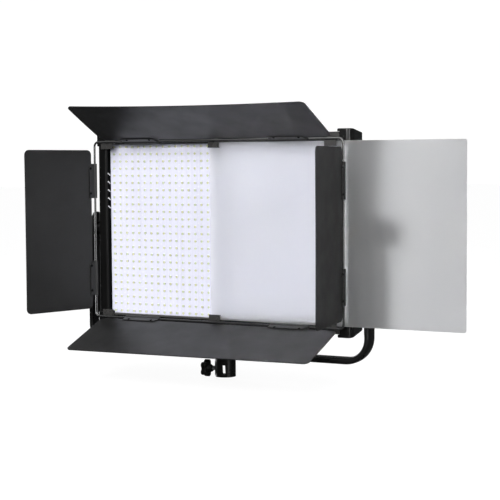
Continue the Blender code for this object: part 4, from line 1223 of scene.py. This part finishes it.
def make_switch():
    low, high, spot = span("switch_frame")
    wide, tall = high.x - low.x, high.z - low.z
    opening = rounded_rectangle(wide - 5 * MM, tall - 4.4 * MM, 0.6 * MM, 3)
    rim = rounded_rectangle(wide, tall, 1.5 * MM)
    surround = eased(extrusion(rim, high.y - low.y, stand(BACK, spot), [opening]), 0.4 * MM, 3, 50)
    add("switch_surround", surround, BLACK_PLASTIC, "head", ["switch_frame"])
    size, tip = (wide - 6 * MM, 7 * MM, tall - 7 * MM), math.radians(-8)
    seat = Matrix.Translation((spot.x, PANEL_FACE, spot.z)) @ Matrix.Rotation(tip, 4, "X")
    rocker = eased(block(size, (0, 0.6 * MM, 0)), 0.7 * MM, 4)
    rocker.transform(seat)
    add("rocker", rocker, RED_PLASTIC, "power_switch", ["power_rocker"])
    # A bar and a ring stand proud of the rocker's face by half their thickness
    face, aside, half = 4.1 * MM, 3 * MM, 0.08
    bar = block((0.5 * MM, 2 * half * MM, 2.2 * MM), (-aside, face, 0))
    ring = turned_at([(0.8, -half), (1.2, -half), (1.2, half), (0.8, half)], (aside, face, 0), 24)
    marks = joined(bar, ring)
    marks.transform(seat)
    add("rocker_marks", marks, MARK_PAINT, "power_switch")


def make_socket():
    """The power inlet: a flanged barrel, open at its mouth, with a centre pin."""
    centre = middle("dc_socket")
    spot = (centre.x, PANEL_FACE, centre.z)
    mouth = [(1.1, 3), (1.1, -6), (3.1, -6), (3.1, 1.6)]
    flange = [(7.4, 1.6), (8, 1.1), (8, 0.3), (5.5, 0.3)]
    barrel = turned_at([*mouth, *flange, (5.5, -9), (0, -9), (0, 3)], spot)
    add("power_socket", barrel, BLACK_PLASTIC, "head", ["dc_socket"])
    pin = turned_at([(0, -6), (1.2, -6), (1.2, 2.6), (0.8, 3.1), (0, 3.1)], spot, 24)
    add("power_pin", pin, STEEL, "head")


# ---------------------------------------------------------------- studio

# Light from all round, and the brighter parts of the surroundings: the direction towards each, the
# cosines at which its light starts and is full, and its strength
WORLD_BASE = 0.06
WORLD_LIGHTS = [
    ((-0.88, 0.475, 0.0), 0.86, 0.99, 7.4),
    ((0.0, -0.2, 1.0), 0.1, 0.9, 0.45),
]


def emitter(name, strength):
    """A plain white studio surface: it glows by itself and takes a faint shadow."""
    surface = bpy.data.materials.new(name)
    surface.use_nodes = True
    shader = surface.node_tree.nodes["Principled BSDF"]
    set_inputs(shader, {"Base Color": (0.12, 0.12, 0.12, 1), "Roughness": 1.0, "Specular IOR Level": 0.0})
    set_inputs(shader, {"Emission Color": (1, 1, 1, 1), "Emission Strength": strength})
    return surface


def make_studio():
    """A pale floor and backdrop that only the camera sees, so the light on the object stays the lamps'."""
    floor_z, floor_wide, floor_thick, dome_r = cad_bounds[0].z - 0.5 * MM, 40, 0.01, 19
    floor_mesh = block((floor_wide, floor_wide, floor_thick), (0, 0, floor_z - floor_thick / 2))
    dome_size = {"u_segments": 48, "v_segments": 24, "radius": dome_r}
    dome_mesh = mesh_from(lambda bm: bmesh.ops.create_uvsphere(bm, **dome_size))
    floor_mesh.materials.append(emitter("floor_white", 0.93))
    dome_mesh.materials.append(emitter("backdrop_white", 1.0))
    for surface in (placed("studio_floor", floor_mesh), placed("studio_backdrop", dome_mesh)):
        surface.visible_diffuse = False
        surface.visible_glossy = False
        surface.visible_transmission = False
        surface.visible_shadow = False


def make_world():
    """Dim light all round, a bright patch behind the light to its left, and soft light from overhead."""
    world = bpy.data.worlds.new("studio_light")
    scene.world = world
    world.use_nodes = True
    nodes, links = world.node_tree.nodes, world.node_tree.links
    background = nodes["Background"]
    background.inputs["Color"].default_value = (0.97, 0.98, 1.0, 1)
    direction = nodes.new("ShaderNodeTexCoord").outputs["Generated"]
    total = None
    for towards, start, full, strength in WORLD_LIGHTS:
        along = nodes.new("ShaderNodeVectorMath")
        along.operation = "DOT_PRODUCT"
        along.inputs[1].default_value = Vector(towards).normalized()
        links.new(direction, along.inputs[0])
        spread = nodes.new("ShaderNodeMapRange")
        spread.interpolation_type = "SMOOTHSTEP"
        set_inputs(spread, {"From Min": start, "From Max": full, "To Max": strength})
        links.new(along.outputs["Value"], spread.inputs["Value"])
        added = nodes.new("ShaderNodeMath")
        added.inputs[0].default_value = WORLD_BASE
        if total:
            links.new(total, added.inputs[0])
        links.new(spread.outputs["Result"], added.inputs[1])
        total = added.outputs["Value"]
    links.new(total, background.inputs["Strength"])


def add_lamp(name, place, aim, size, power):
    lamp = bpy.data.lights.new(name, "AREA")
    lamp.shape = "RECTANGLE"
    lamp.size, lamp.size_y = size
    lamp.energy = power
    holder = placed(name, lamp)
    holder.location = place
    holder.rotation_euler = (Vector(aim) - Vector(place)).to_track_quat("-Z", "Y").to_euler()


def light_scene():
    target = (0, 0, AXIS_Z)
    make_world()
    add_lamp("softbox_right", (1.9, -0.9, 0.6), target, (0.5, 1.5), 25)
    add_lamp("softbox_top", (0.1, -0.5, 1.7), target, (1.6, 1.0), 22)
    add_lamp("softbox_front", (0.35, -2.2, 1.05), target, (1.2, 1.4), 63)
    scene.view_settings.view_transform = "Standard"


place_camera()
make_yoke()
make_receiver()
make_hand_controls()
make_bezel()
for x_sign, x_word in SIDES:
    for z_sign, z_word in ROWS:
        make_guard(x_sign, z_sign, f"{z_word}_{x_word}")
make_rear_shell()
make_led_board()
make_driver_parts()
make_sheet()
make_clips()
make_barn_doors()
make_control_panel()
make_dials()
make_switch()
make_socket()
make_studio()
light_scene()
